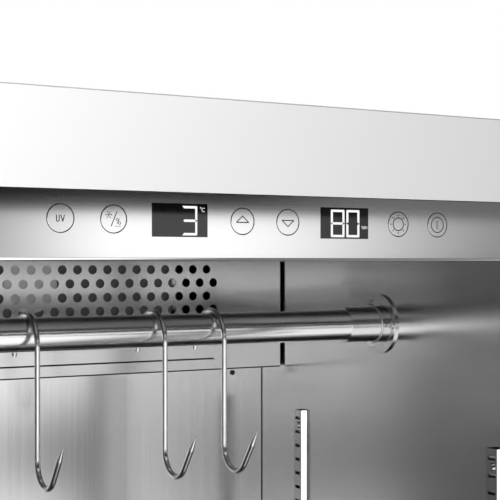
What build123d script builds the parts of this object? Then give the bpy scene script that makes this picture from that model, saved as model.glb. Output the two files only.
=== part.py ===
from build123d import *
import os
from math import atan, cos, degrees, radians, sin

# Dry aging cabinet: an insulated steel cabinet with a glazed door, a cooled and ventilated
# chamber, a hanging rail with butcher's hooks, slotted shelf strips and a machine room below.
# The origin is the centre of the four feet on the floor. +X is to the right of someone facing
# the cabinet, -Y is its front and +Z is up. All sizes are in millimetres.

os.makedirs("parts", exist_ok=True)

# Cabinet outside, without the door
case_width = 595.0
case_depth = 560.0
case_height = 1270.0
foot_height = 20.0
sheet = 1.0
fold_radius = 4.0

# Front frame round the chamber's mouth, and the foam behind the liner
frame_depth = 4.0
frame_edge_radius = 1.0
side_member = 47.5
top_member = 53.0
bottom_member = 45.0
deck_height = 170.0
rear_foam = 49.0
cove_radius = 8.0

# Control panel
panel_height = 38.0
panel_depth = 58.0
panel_sheet = 1.2
panel_fold = 0.8
panel_recess = 0.5
panel_gap = 0.4
key_radius = 7.5
key_gap = 0.3
key_lip = 1.5
key_flange = 1.2
key_seat = 0.1
key_stem_radius = 2.0
key_edge_radius = 0.4
key_travel = 0.8
key_height = 22.6
key_pitch = 30.0
inner_key_x = 93.74
display_x = 54.37
display_width = 34.1
display_height = 18.4
display_recess = 0.1
display_gap = 0.1
display_lip = 1.5
board_distance = 9.0
board_thickness = 1.6
board_margin = 22.0
switch_size = 6.0
switch_height = 4.0
plug_width = 22.0
plug_height = 12.0
plug_depth = 8.0

# Fan cover and the wall panel behind it
cooling_depth = 76.4
cover_depth = 39.7
cover_fan_room = 16.8
fan_top_gap = 3.5
cover_side_gap = 2.2
cover_fold = 1.3
cover_top_gap = 0.3
hole_radius = 4.0
hole_pitch = 14.0
hole_columns = 25
hole_rows_drop = 63.5
slot_height = 1.4
slot_from_bottom = 9.6
slot_width = 351.6
wall_panel_gap = 0.8
return_air_gap = 14.0
intake_slots = 15
intake_pitch = 28.0
intake_width = 8.0
intake_height = 60.0
intake_rise = 60.0
panel_screw_inset = 33.0
panel_screw_drop = 8.4
panel_screw_foot = 31.5
panel_screw_rows = 3
screw_head_radius = 2.4
screw_head_height = 1.6
screw_radius = 1.5
screw_clearance = 0.1
screw_length = 11.0
screw_tip_gap = 1.0
standoff_radius = 5.5

# Cooling behind the wall panel
coil_end_room = 77.5
coil_depth = 44.0
coil_drop = 171.0
coil_height = 196.0
coil_fins = 25
fin_thickness = 1.2
fin_show = 8.0
end_plate = 1.5
tube_radius = 4.75
tube_bend = 12.5

# Lights and probe
led_end_room = 37.5
led_width = 18.0
led_height = 12.0
led_behind_panel = 8.0
lens_width = 12.0
lens_depth = 4.0
lens_proud = 1.5
lamp_cover_gap = 71.9
lamp_drop = 24.0
lamp_half = 130.0
lamp_radius = 8.0
lamp_cap_radius = 8.6
lamp_cap_length = 14.0
holder_size = (22.0, 26.0, 36.0)
holder_grip = 8.0
probe_setback = 220.0
probe_drop = 297.0
probe_width = 24.0
probe_height = 80.0
probe_depth = 14.0
probe_slots = 5

# Hanging rail and its wall flanges
rail_setback = 236.5
rail_drop = 90.5
rail_radius = 12.5
rail_wall = 1.5
rail_end_gap = 0.2
flange_radius = 25.0
flange_thickness = 2.0
collar_radius = 14.55
collar_length = 25.0
bead_radius = 15.2
bead_length = 4.0
flange_screw_radius = 3.2
flange_screws_per_disc = 3

# Hooks
hook_wire = 2.0
hook_loop_radius = 22.0
hook_rest_gap = 0.3
hook_drop = 118.3
hook_bend_radius = 17.5
hook_bend_angle = 144.0
hook_prong = 19.0
hook_needle = 12.0
hook_needle_tip = 0.3
hook_tail = 18.0
hook_flare = 20.0
hook_places = {"hook_1": -58.8, "hook_2": 40.0, "hook_3": 89.8}

# Shelf strips and shelves
strip_width = 12.0
strip_depth = 5.0
strip_sheet = 1.2
strip_drop = 175.2
strip_floor_gap = 110.0
strip_rear_gap = 74.0
strip_setback = 90.0
slot_pitch = 12.7
slot_long = 8.0
slot_tall = 3.0
first_slot_drop = 7.3
shelf_side_gap = 5.0
shelf_setback = 25.0
shelf_rear_gap = 19.4
shelf_rim = 16.0
shelf_sheet = 1.2
shelf_slot_pitch = 30.0
shelf_slot_width = 12.0
shelf_slot_margin = 35.0
shelf_slot_web = 30.0
shelf_drops = {"shelf_upper": 330.0, "shelf_lower": 533.0}
strip_screw_head_radius = 3.0
strip_screw_head_height = 1.4
clip_clearance = 0.3
clip_plate = 1.6
clip_plate_height = 12.0
clip_ledge = 12.0
clip_ledge_thickness = 2.0

# Salt tray
tray_side_gap = 18.5
tray_setback = 30.0
tray_rear_gap = 24.4
tray_height = 42.0
tray_corner = 20.0
tray_sheet = 1.2
tray_rim = 6.0
tray_floor_gap = 0.3

# Door
door_thickness = 48.0
door_angle = 180.0
door_bottom_gap = 2.0
door_top_drop = 12.0
door_member = 52.0
door_lip = 4.0
door_rebate = 14.0
pane_thickness = 5.0
pane_space = 10.0
trim_overlap = 6.0
gasket_width = 18.0
gasket_depth = 10.0
gasket_inset = 14.0
gasket_clearance = 0.3
hinge_inset = 12.0
hinge_pin_radius = 4.0
hinge_pin_length = 18.0
hinge_plate = 4.0
door_edge_radius = 2.0
running_fit = 0.06
handle_radius = 8.0
handle_length = 430.0
handle_reach = 40.0
handle_inset = 30.0
handle_post_radius = 6.0
handle_post_inset = 40.0
pane_edge_gap = 1.0
spacer_width = 8.0
spacer_inset = 4.0
trim_gap = 0.1
trim_chamfer = 5.0
gasket_foot_inset = 3.0
gasket_foot_depth = 4.0
hinge_leg_height = 17.0
hinge_leg_sheet = 3.0
hinge_leg_length = 46.0
hinge_arm_half = 14.0
hinge_gap = 1.0
bush_radius = 7.0
bush_length = 19.0
bush_flange_radius = 9.0
bush_flange = 0.9

# Machine room
base_sheet = 1.5
base_flange = 25.0
foot_inset = 45.0
foot_pad_radius = 20.0
foot_pad_height = 7.0
foot_nut_radius = 11.0
stud_radius = 5.0
stud_length = 26.0
boss_radius = 11.0
boss_height = 10.0
fan_size = 120.0
fan_depth = 25.0
fan_ring_wall = 3.0
fan_hub_radius = 24.0
fan_corner = 8.0
fan_spider = 3.0
fan_strut = 7.0
fan_shaft_radius = 3.0
fan_front_gap = 3.0
fan_hub_depth = 17.0
blade_gap = 3.5
blade_half_chord = 12.0
blade_half_depth = 7.0
blade_camber = 3.0
blade_thickness = 1.6
blade_root = 4.0
blades = 7
condenser_boss_gap = 6.5
condenser_width = 280.0
condenser_depth = 40.0
condenser_front_gap = 8.0
condenser_height = 118.0
condenser_fins = 21
compressor_side_room = 146.5
compressor_back_room = 160.0
compressor_radius = 72.0
compressor_height = 104.0
compressor_dome = 26.0
compressor_seam = 2.0
compressor_plate = (190.0, 120.0, 3.0)
terminal_box = (46.0, 40.0, 36.0)
terminal_box_low = 24.0
grommet_radius = 10.0
grommet_height = 10.0
drain_pan_side_room = 66.5
drain_pan_back_room = 80.0
drain_pan_width = 170.0
drain_pan_depth = 190.0
drain_pan_height = 30.0
drain_pan_wall = 1.6
drain_pan_corner = 12.0
grille_slot_height = 4.5
grille_slot_pitch = 9.0
kick_slot_columns = 3
kick_slot_rows = 13
kick_slot_margin = 26.5
kick_slot_web = 16.0
rear_slot_rows = 11
rear_slot_width = 150.0
rear_slot_apart = 180.0
inlet_side_room = 56.5
inlet_drop = 60.0
inlet_body = (27.0, 20.0, 22.0)
inlet_recess = (23.0, 16.0, 16.0)
inlet_flange = (40.0, 28.0, 2.0)
inlet_pin = (2.0, 4.0, 13.0)
inlet_pin_spread = 7.0
inlet_pin_rise = 2.0

# Places worked out from the sizes above
half_width = case_width / 2
front = -case_depth / 2
back = case_depth / 2
shell_front = front + frame_depth
mouth_half = half_width - side_member
ceiling = case_height - top_member
chamber_floor = deck_height + bottom_member
liner_rear = back - 2 * sheet - rear_foam
panel_bottom = ceiling - panel_height
panel_face = front + panel_recess
wall_panel_back = liner_rear - cooling_depth
panel_wall_y = wall_panel_back - sheet
cover_face = panel_wall_y - cover_depth
cover_bottom = ceiling - fan_size - cover_fan_room
rail_y = front + rail_setback
rail_z = ceiling - rail_drop
base_top = foot_height + base_sheet
inside_half = half_width - sheet


def level(z):
    """A level plane at height z."""
    return Plane.XY.offset(z)


def facing_front(y):
    """An upright plane at depth y: its x is to the right, its y is up, its normal to the front."""
    return Plane(origin=(0, y, 0), x_dir=(1, 0, 0), z_dir=(0, -1, 0))


def facing_right(x):
    """An upright plane at x: its x is to the back, its y is up, its normal to the right."""
    return Plane(origin=(x, 0, 0), x_dir=(0, 1, 0), z_dir=(1, 0, 0))


def span(low, high):
    """The middle and the length of the stretch from low to high."""
    return (low + high) / 2, high - low


def rectangle_between(x_low, x_high, y_low, y_high, mode=Mode.ADD):
    """A rectangle between two corners of the open sketch."""
    x, width = span(x_low, x_high)
    y, height = span(y_low, y_high)
    with Locations((x, y)):
        Rectangle(width, height, mode=mode)


def rounded_between(x_low, x_high, y_low, y_high, bottom=0.0, top=0.0, mode=Mode.ADD):
    """A rectangle between two corners of the open sketch, its lower or upper corners rounded."""
    with BuildSketch(mode=Mode.PRIVATE) as shape:
        rectangle_between(x_low, x_high, y_low, y_high)
        if bottom:
            fillet(shape.vertices().group_by(Axis.Y)[0], bottom)
        if top:
            fillet(shape.vertices().group_by(Axis.Y)[-1], top)
    add(shape.sketch, mode=mode)


def save(piece, name):
    """Labels a finished piece and writes its file."""
    piece.part.label = name
    export_step(piece.part, f"parts/{name}.step")


# Outer casing: one sheet folded over both sides and the top
inner_fold = fold_radius - sheet
with BuildPart() as outer_casing:
    with BuildSketch(facing_front(shell_front)):
        rounded_between(-half_width, half_width, foot_height, case_height, top=fold_radius)
        rounded_between(
            -inside_half,
            inside_half,
            foot_height,
            case_height - sheet,
            top=inner_fold,
            mode=Mode.SUBTRACT,
        )
    extrude(amount=-(back - shell_front))
save(outer_casing, "outer_casing")

# Back panel: the stepped sheet behind the foam and over the machine room
with BuildPart() as back_panel:
    with BuildSketch(facing_front(back - sheet)):
        rounded_between(-inside_half, inside_half, deck_height, case_height - sheet, top=inner_fold)
    extrude(amount=-sheet)
    with BuildSketch(level(deck_height)):
        rectangle_between(-inside_half, inside_half, shell_front, back)
    extrude(amount=sheet)
save(back_panel, "back_panel")


def chamber_space(margin):
    """The chamber's hollow grown by a margin on its closed sides, with coved floor corners."""
    with BuildPart() as space:
        with BuildSketch(facing_front(shell_front)):
            rounded_between(
                -mouth_half - margin,
                mouth_half + margin,
                chamber_floor - margin,
                ceiling + margin,
                bottom=cove_radius + margin,
            )
        extrude(amount=-(liner_rear + margin - shell_front))
    return space.part


# Insulation foam: fills the space between the casing and the liner
with BuildPart() as insulation_foam:
    with BuildSketch(facing_front(shell_front)):
        rounded_between(
            -inside_half, inside_half, deck_height + sheet, case_height - sheet, top=inner_fold
        )
    extrude(amount=-(back - sheet - shell_front))
    add(chamber_space(sheet), mode=Mode.SUBTRACT)
save(insulation_foam, "insulation_foam")

# Inner liner: the stainless chamber, open at the front
with BuildPart() as inner_liner:
    add(chamber_space(sheet))
    add(chamber_space(0), mode=Mode.SUBTRACT)
save(inner_liner, "inner_liner")

# Front frame: the smooth ring round the mouth that the door seals against
with BuildPart() as front_frame:
    with BuildSketch(facing_front(front)):
        rounded_between(-half_width, half_width, deck_height, case_height, top=fold_radius)
        rounded_between(
            -mouth_half, mouth_half, chamber_floor, ceiling, bottom=cove_radius, mode=Mode.SUBTRACT
        )
    extrude(amount=-frame_depth)
    fillet(front_frame.faces().sort_by(Axis.Y)[0].outer_wire().edges(), frame_edge_radius)
save(front_frame, "front_frame")

# Control panel: a channel hung under the ceiling, with holes for keys and displays
panel_half = mouth_half - panel_gap
panel_rear = front + panel_depth
key_z = panel_bottom + key_height
key_places = {
    "uv_key": -inner_key_x - key_pitch,
    "mode_key": -inner_key_x,
    "up_key": -key_pitch / 2,
    "down_key": key_pitch / 2,
    "light_key": inner_key_x,
    "power_key": inner_key_x + key_pitch,
}
key_points = [(x, key_z) for x in key_places.values()]
with BuildPart() as control_panel:
    with BuildSketch(facing_right(-panel_half)):
        rounded_between(
            panel_face, panel_rear, panel_bottom, ceiling, bottom=panel_sheet + panel_fold
        )
        rounded_between(
            panel_face + panel_sheet,
            panel_rear - panel_sheet,
            panel_bottom + panel_sheet,
            ceiling,
            bottom=panel_fold,
            mode=Mode.SUBTRACT,
        )
    extrude(amount=2 * panel_half)
    with BuildSketch(facing_front(panel_face)):
        with Locations(key_points):
            Circle(key_radius + key_gap)
        with Locations((-display_x, key_z), (display_x, key_z)):
            Rectangle(display_width, display_height)
        rectangle_between(-panel_half, panel_half, ceiling - panel_gap, ceiling)
    extrude(amount=-panel_sheet, mode=Mode.SUBTRACT)
save(control_panel, "control_panel")

# Control board: carries the switches behind the keys and clamps the displays
board_front = panel_face + panel_sheet + board_distance
switch_face = board_front - switch_height
with BuildPart() as control_board:
    with BuildSketch(facing_front(board_front)):
        rectangle_between(
            key_places["uv_key"] - board_margin,
            key_places["power_key"] + board_margin,
            panel_bottom + panel_sheet,
            ceiling - switch_height,
        )
    extrude(amount=-board_thickness)
    with BuildSketch(facing_front(board_front)):
        with Locations(key_points):
            Rectangle(switch_size, switch_size)
    extrude(amount=switch_height)
    with BuildSketch(facing_front(board_front + board_thickness)):
        with Locations((-display_x, key_z), (0, key_z), (display_x, key_z)):
            Rectangle(plug_width, plug_height)
    extrude(amount=-plug_depth)
save(control_board, "control_board")


def push_key(name, x):
    """One flush round key: a cap, a flange behind the panel and a stem to its switch."""
    flange_front = panel_face + panel_sheet + key_seat
    with BuildPart() as key:
        with BuildSketch(facing_front(panel_face)):
            with Locations((x, key_z)):
                Circle(key_radius)
        extrude(amount=-(flange_front - panel_face))
        fillet(key.edges().group_by(Axis.Y)[0], key_edge_radius)
        with BuildSketch(facing_front(flange_front)):
            with Locations((x, key_z)):
                Circle(key_radius + key_lip)
        extrude(amount=-key_flange)
        with BuildSketch(facing_front(flange_front + key_flange)):
            with Locations((x, key_z)):
                Circle(key_stem_radius)
        extrude(amount=-(switch_face - key_travel - key_seat - flange_front - key_flange))
    save(key, name)


for name, x in key_places.items():
    push_key(name, x)


def display(name, x):
    """One display: a dark window flush in the panel, on a module that sits on the board."""
    with BuildPart() as module:
        with BuildSketch(facing_front(panel_face + display_recess)):
            with Locations((x, key_z)):
                Rectangle(display_width - 2 * display_gap, display_height - 2 * display_gap)
        extrude(amount=-(panel_sheet - display_recess))
        with BuildSketch(facing_front(panel_face + panel_sheet)):
            with Locations((x, key_z)):
                Rectangle(display_width + 2 * display_lip, display_height + 2 * display_lip)
        extrude(amount=-board_distance)
    save(module, name)


display("display_temperature", -display_x)
display("display_humidity", display_x)

# Fan cover: a folded sheet box with four staggered rows of round holes in its face
cover_half = mouth_half - cover_side_gap
cover_top = ceiling - cover_top_gap
hole_rows_z = ceiling - hole_rows_drop
row_pitch = hole_pitch * sin(radians(60))
with BuildPart() as fan_cover:
    with BuildSketch(level(cover_bottom)):
        rounded_between(-cover_half, cover_half, cover_face, panel_wall_y, bottom=cover_fold)
    extrude(amount=cover_top - cover_bottom)
    with BuildSketch(level(cover_bottom + sheet)):
        rounded_between(
            -cover_half + sheet,
            cover_half - sheet,
            cover_face + sheet,
            panel_wall_y,
            bottom=cover_fold - sheet,
        )
    extrude(amount=cover_top - cover_bottom - sheet, mode=Mode.SUBTRACT)
    with BuildSketch(facing_front(cover_face)):
        with Locations((0, hole_rows_z + row_pitch / 2)):
            with GridLocations(hole_pitch, 2 * row_pitch, hole_columns, 2):
                Circle(hole_radius)
        with Locations((0, hole_rows_z - row_pitch / 2)):
            with GridLocations(hole_pitch, 2 * row_pitch, hole_columns + 1, 2):
                Circle(hole_radius)
        with Locations((0, cover_bottom + slot_from_bottom)):
            Rectangle(slot_width, slot_height)
    extrude(amount=-sheet, mode=Mode.SUBTRACT)
save(fan_cover, "fan_cover")

# Rear wall panel: closes off the cooling space, with a fan opening above and air slots below
fan_z = ceiling - fan_top_gap - fan_size / 2
fan_bore = fan_size / 2 - fan_ring_wall
wall_panel_bottom = chamber_floor + return_air_gap
panel_screw_top = cover_bottom - panel_screw_drop
panel_screw_pitch = (panel_screw_top - wall_panel_bottom - panel_screw_foot) / (panel_screw_rows - 1)
panel_screw_points = [
    (side * (mouth_half - panel_screw_inset), panel_screw_top - row * panel_screw_pitch)
    for side in (-1, 1)
    for row in range(panel_screw_rows)
]
with BuildPart() as rear_wall_panel:
    with BuildSketch(facing_front(panel_wall_y)):
        rectangle_between(
            -mouth_half + wall_panel_gap,
            mouth_half - wall_panel_gap,
            wall_panel_bottom,
            cover_top,
        )
        with Locations((0, fan_z)):
            Circle(fan_bore, mode=Mode.SUBTRACT)
        with Locations((0, chamber_floor + intake_rise)):
            with GridLocations(intake_pitch, 1, intake_slots, 1):
                Rectangle(intake_width, intake_height, mode=Mode.SUBTRACT)
        with Locations(panel_screw_points):
            Circle(screw_radius + screw_clearance, mode=Mode.SUBTRACT)
    extrude(amount=-sheet)
save(rear_wall_panel, "rear_wall_panel")

# Standoffs: hexagonal spacers between the liner's back and the wall panel, tapped at the front
with BuildPart() as panel_standoffs:
    with BuildSketch(facing_front(wall_panel_back)):
        with Locations(panel_screw_points):
            RegularPolygon(standoff_radius, 6)
    extrude(amount=-(liner_rear - wall_panel_back))
    with BuildSketch(facing_front(wall_panel_back)):
        with Locations(panel_screw_points):
            Circle(screw_radius + screw_clearance / 2)
    extrude(amount=-(screw_length + screw_tip_gap), mode=Mode.SUBTRACT)
save(panel_standoffs, "panel_standoffs")

# Screws that hold the wall panel
with BuildPart() as rear_panel_screws:
    with BuildSketch(facing_front(panel_wall_y)):
        with Locations(panel_screw_points):
            Circle(screw_head_radius)
    extrude(amount=screw_head_height)
    chamfer(rear_panel_screws.edges().group_by(Axis.Y)[0], screw_head_height / 3)
    with BuildSketch(facing_front(panel_wall_y)):
        with Locations(panel_screw_points):
            Circle(screw_radius)
    extrude(amount=-screw_length)
save(rear_panel_screws, "rear_panel_screws")


def fan_housing(name, x, y, z):
    """One axial fan's square housing, open at the front, with its motor plate at the back."""
    with BuildPart() as housing:
        with BuildSketch(Plane(origin=(x, y, z), x_dir=(1, 0, 0), z_dir=(0, -1, 0))):
            RectangleRounded(fan_size, fan_size, fan_corner)
            Circle(fan_bore, mode=Mode.SUBTRACT)
        extrude(amount=-fan_depth)
        with BuildSketch(Plane(origin=(x, y + fan_depth, z), x_dir=(1, 0, 0), z_dir=(0, -1, 0))):
            Circle(fan_hub_radius)
            with PolarLocations((fan_bore + fan_hub_radius) / 2, 4, start_angle=45):
                Rectangle(fan_bore - fan_hub_radius + fan_ring_wall, fan_strut)
            Circle(fan_shaft_radius + running_fit, mode=Mode.SUBTRACT)
        extrude(amount=fan_spider)
    save(housing, name)


def fan_rotor(name, x, y, z):
    """One fan wheel: a hub with curved blades, on a shaft that runs in the motor plate."""
    hub_front = y + fan_front_gap
    with BuildPart() as rotor:
        with BuildSketch(Plane(origin=(x, hub_front, z), x_dir=(1, 0, 0), z_dir=(0, -1, 0))):
            Circle(fan_hub_radius)
        extrude(amount=-fan_hub_depth)
        with BuildSketch(Plane(origin=(x, hub_front, z), x_dir=(1, 0, 0), z_dir=(0, -1, 0))):
            Circle(fan_shaft_radius)
        extrude(amount=-(fan_depth - fan_front_gap))
        for blade in range(blades):
            turn = radians(360 / blades * blade)
            outwards = Vector(cos(turn), 0, sin(turn))
            root = Vector(x, hub_front + fan_hub_depth / 2, z) + outwards * (fan_hub_radius - blade_root)
            with BuildSketch(Plane(origin=root, x_dir=(0, 1, 0), z_dir=outwards)):
                with BuildLine():
                    low = (-blade_half_depth, -blade_half_chord)
                    high = (blade_half_depth, blade_half_chord)
                    face_side = ThreePointArc(low, (-blade_camber, blade_camber / 2), high)
                    back_side = ThreePointArc(
                        (low[0] + blade_thickness, low[1]),
                        (blade_thickness - blade_camber, blade_camber / 2 - blade_thickness / 2),
                        (high[0] + blade_thickness, high[1]),
                    )
                    Line(face_side @ 0, back_side @ 0)
                    Line(face_side @ 1, back_side @ 1)
                make_face()
            extrude(amount=fan_bore - blade_gap - fan_hub_radius + blade_root)
    save(rotor, name)


# Evaporator fan: stands on the wall panel behind the perforated rows
evaporator_fan_y = panel_wall_y - fan_depth
fan_housing("evaporator_fan_housing", 0, evaporator_fan_y, fan_z)
fan_rotor("evaporator_fan_rotor", 0, evaporator_fan_y, fan_z)


def finned_coil(name, x, half, y_front, depth, z_low, z_high, fins):
    """One heat exchanger: a finned block between end plates, with return bends on its right end."""
    with BuildPart() as coil:
        y, height = y_front + depth / 2, z_high - z_low
        with BuildSketch(level(z_low)):
            with Locations((x, y)):
                Rectangle(2 * half, depth - 2 * fin_show)
                with GridLocations(2 * half / (fins - 1), 1, fins, 1):
                    Rectangle(fin_thickness, depth)
                with Locations((-half, 0), (half, 0)):
                    Rectangle(end_plate, depth)
        extrude(amount=height)
        tube_x = x + half + end_plate / 2
        bends = int(height / (6 * tube_bend))
        for bend in range(bends):
            z = z_low + height * (bend + 0.5) / bends
            with BuildSketch(facing_right(tube_x)):
                with Locations((y, z + tube_bend)):
                    Circle(tube_radius)
            revolve(axis=Axis((tube_x, y, z), (0, 1, 0)), revolution_arc=180)
    save(coil, name)


# Evaporator: hangs on the liner's back, under the fan
coil_top = ceiling - coil_drop
finned_coil(
    "evaporator_coil",
    0,
    mouth_half - coil_end_room,
    liner_rear - coil_depth,
    coil_depth,
    coil_top - coil_height,
    coil_top,
    coil_fins,
)


def wall_plane(side):
    """The rail's plane at one side wall: its x runs into the chamber, its y is up."""
    return Plane(
        origin=(side * mouth_half, rail_y, rail_z), x_dir=(-side, 0, 0), z_dir=(0, side, 0)
    )


# Rail flanges: a thin round disc on each side wall with a collar that the rail sits in
flange_screw_circle = (flange_radius + bead_radius) / 2
rail_socket = rail_radius + running_fit
with BuildPart() as rail_flanges:
    for side in (-1, 1):
        wall = wall_plane(side)
        with BuildSketch(wall):
            with BuildLine():
                Polyline(
                    (0, 0),
                    (0, flange_radius),
                    (flange_thickness, flange_radius),
                    (flange_thickness, bead_radius),
                    (flange_thickness + bead_length, bead_radius),
                    (flange_thickness + bead_length, collar_radius),
                    (collar_length, collar_radius),
                    (collar_length, rail_socket),
                    (flange_thickness, rail_socket),
                    (flange_thickness, 0),
                    (0, 0),
                )
            make_face()
        revolve(axis=Axis(wall.origin, wall.x_dir))
        with BuildSketch(Plane(wall.origin + wall.x_dir * flange_thickness, z_dir=wall.x_dir)):
            with PolarLocations(flange_screw_circle, flange_screws_per_disc, start_angle=-30):
                Circle(flange_screw_radius / 2)
        extrude(amount=-flange_thickness, mode=Mode.SUBTRACT)
    circles = rail_flanges.edges().filter_by(GeomType.CIRCLE)
    for side in (-1, 1):
        lip = circles.filter_by(
            lambda e: abs(e.center().X - side * (mouth_half - collar_length)) < running_fit
        )
        fillet(lip.sort_by(SortBy.RADIUS)[-1], (collar_radius - rail_radius) / 2)
save(rail_flanges, "rail_flanges")

# Hanging rail: a polished tube between the two wall flanges
rail_half = mouth_half - flange_thickness - rail_end_gap
with BuildPart() as hanging_rail:
    with BuildSketch(facing_right(-rail_half)):
        with Locations((rail_y, rail_z)):
            Circle(rail_radius)
            Circle(rail_radius - rail_wall, mode=Mode.SUBTRACT)
    extrude(amount=2 * rail_half)
save(hanging_rail, "hanging_rail")

# Hooks: bent from round wire, looped over the rail, with a ground needle point in front
loop_z = rail_z + rail_radius + hook_rest_gap + hook_wire - hook_loop_radius
shank_y = rail_y - hook_loop_radius
bend_z = loop_z + hook_loop_radius - hook_drop + hook_bend_radius
bend_y = shank_y - hook_bend_radius


def hook(name, x):
    """One hook: its tail, the loop over the rail, the shank, the bend, the prong and the point."""
    side = facing_right(x)
    flare, bend = radians(hook_flare), radians(hook_bend_angle)
    loop_end = (rail_y + hook_loop_radius * cos(flare), loop_z + hook_loop_radius * sin(flare))
    tail_end = (loop_end[0] + hook_tail * sin(flare), loop_end[1] - hook_tail * cos(flare))
    prong_start = (bend_y + hook_bend_radius * cos(bend), bend_z - hook_bend_radius * sin(bend))
    forwards = (-sin(bend), -cos(bend))
    prong_end = (
        prong_start[0] + hook_prong * forwards[0],
        prong_start[1] + hook_prong * forwards[1],
    )
    with BuildPart() as piece:
        with BuildLine(side) as wire:
            Line(tail_end, loop_end)
            CenterArc((rail_y, loop_z), hook_loop_radius, hook_flare, 180 - hook_flare)
            Line((shank_y, loop_z), (shank_y, bend_z))
            CenterArc((bend_y, bend_z), hook_bend_radius, 0, -hook_bend_angle)
            Line(prong_start, prong_end)
        tail_point = side.from_local_coords((tail_end[0], tail_end[1], 0))
        loop_point = side.from_local_coords((loop_end[0], loop_end[1], 0))
        with BuildSketch(Plane(tail_point, z_dir=loop_point - tail_point)):
            Circle(hook_wire)
        sweep(path=wire.wires()[0])
        needle_root = side.from_local_coords((prong_end[0], prong_end[1], 0))
        needle_way = Vector(0, forwards[0], forwards[1])
        with BuildSketch(Plane(needle_root, z_dir=needle_way)):
            Circle(hook_wire)
        extrude(
            amount=hook_needle, taper=degrees(atan((hook_wire - hook_needle_tip) / hook_needle))
        )
    save(piece, name)


for name, x in hook_places.items():
    hook(name, x)

# Shelf strips: four slotted channels on the side walls, with their fixing screws
strip_top = ceiling - strip_drop
strip_slots = int((strip_top - chamber_floor - strip_floor_gap) / slot_pitch)
slot_heights = [strip_top - first_slot_drop - slot * slot_pitch for slot in range(strip_slots)]
strip_bottom = slot_heights[-1] - first_slot_drop
strip_face = mouth_half - strip_depth
strip_ys = (front + strip_setback, panel_wall_y - strip_rear_gap)
clip_slots = {name: round(drop / slot_pitch) for name, drop in shelf_drops.items()}
strip_screw_heights = [
    slot_heights[slot] - slot_pitch / 2
    for slot in (0, clip_slots["shelf_upper"] + 1, strip_slots - 2)
]
with BuildPart() as shelf_strips:
    for side in (-1, 1):
        inner_depth = strip_depth - strip_sheet
        with BuildSketch(level(strip_bottom)):
            for y in strip_ys:
                with Locations((side * (mouth_half - strip_depth / 2), y)):
                    Rectangle(strip_depth, strip_width)
                with Locations((side * (mouth_half - inner_depth / 2), y)):
                    Rectangle(inner_depth, strip_width - 2 * strip_sheet, mode=Mode.SUBTRACT)
        extrude(amount=strip_top - strip_bottom)
        with BuildSketch(facing_right(side * strip_face)):
            with Locations([(y, z) for y in strip_ys for z in slot_heights]):
                Rectangle(slot_long, slot_tall)
            with Locations([(y, z) for y in strip_ys for z in strip_screw_heights]):
                Circle(screw_radius + screw_clearance)
        extrude(amount=side * strip_sheet, mode=Mode.SUBTRACT)
save(shelf_strips, "shelf_strips")

# Wall screws: three in each rail flange and three in each shelf strip
with BuildPart() as wall_screws:
    for side in (-1, 1):
        points = [(y, z) for y in strip_ys for z in strip_screw_heights]
        with BuildSketch(facing_right(side * strip_face)):
            with Locations(points):
                Circle(strip_screw_head_radius)
        extrude(amount=-side * strip_screw_head_height)
        with BuildSketch(facing_right(side * strip_face)):
            with Locations(points):
                Circle(screw_radius)
        extrude(amount=side * strip_depth)
        wall = wall_plane(side)
        disc_face = Plane(wall.origin + wall.x_dir * flange_thickness, z_dir=wall.x_dir)
        with BuildSketch(disc_face):
            with PolarLocations(flange_screw_circle, flange_screws_per_disc, start_angle=-30):
                Circle(flange_screw_radius)
        extrude(amount=screw_head_height / 2)
        with BuildSketch(disc_face):
            with PolarLocations(flange_screw_circle, flange_screws_per_disc, start_angle=-30):
                Circle(flange_screw_radius / 2 - screw_clearance / 2)
        extrude(amount=-flange_thickness)
save(wall_screws, "wall_screws")

# Shelf clips: each hooks into a slot and holds out a ledge for the shelf
ledge_heights = {
    name: slot_heights[slot] + slot_tall / 2 - clip_clearance for name, slot in clip_slots.items()
}
clip_width = slot_long - 2 * clip_clearance
with BuildPart() as shelf_clips:
    for y in strip_ys:
        with BuildSketch(facing_front(y - clip_width / 2)):
            for ledge in ledge_heights.values():
                rectangle_between(
                    strip_face - clip_plate,
                    strip_face + strip_sheet + clip_plate,
                    ledge - slot_tall + 2 * clip_clearance,
                    ledge,
                )
                rectangle_between(
                    strip_face - clip_plate, strip_face, ledge - clip_plate_height, ledge
                )
                rectangle_between(
                    strip_face - clip_ledge, strip_face, ledge - clip_ledge_thickness, ledge
                )
        extrude(amount=-clip_width)
    mirror(about=Plane.YZ)
save(shelf_clips, "shelf_clips")


def shelf(name, ledge):
    """One shelf: a slotted sheet with its four rims turned down onto the clips."""
    half = strip_face - shelf_side_gap
    top = ledge + shelf_rim
    near = front + shelf_setback
    middle, depth = span(near, panel_wall_y - shelf_rear_gap)
    slot_length = (depth - 2 * shelf_slot_margin - shelf_slot_web) / 2
    columns = int((2 * half - shelf_slot_margin) / shelf_slot_pitch)
    with BuildPart() as piece:
        with BuildSketch(level(ledge)):
            rectangle_between(-half, half, near, near + depth)
        extrude(amount=shelf_rim)
        with BuildSketch(level(ledge)):
            rectangle_between(
                -half + shelf_sheet,
                half - shelf_sheet,
                near + shelf_sheet,
                near + depth - shelf_sheet,
            )
        extrude(amount=shelf_rim - shelf_sheet, mode=Mode.SUBTRACT)
        with BuildSketch(level(top)):
            with Locations((0, middle)):
                with GridLocations(shelf_slot_pitch, slot_length + shelf_slot_web, columns, 2):
                    Rectangle(shelf_slot_width, slot_length)
        extrude(amount=-shelf_sheet, mode=Mode.SUBTRACT)
    save(piece, name)


for name, ledge in ledge_heights.items():
    shelf(name, ledge)

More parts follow.
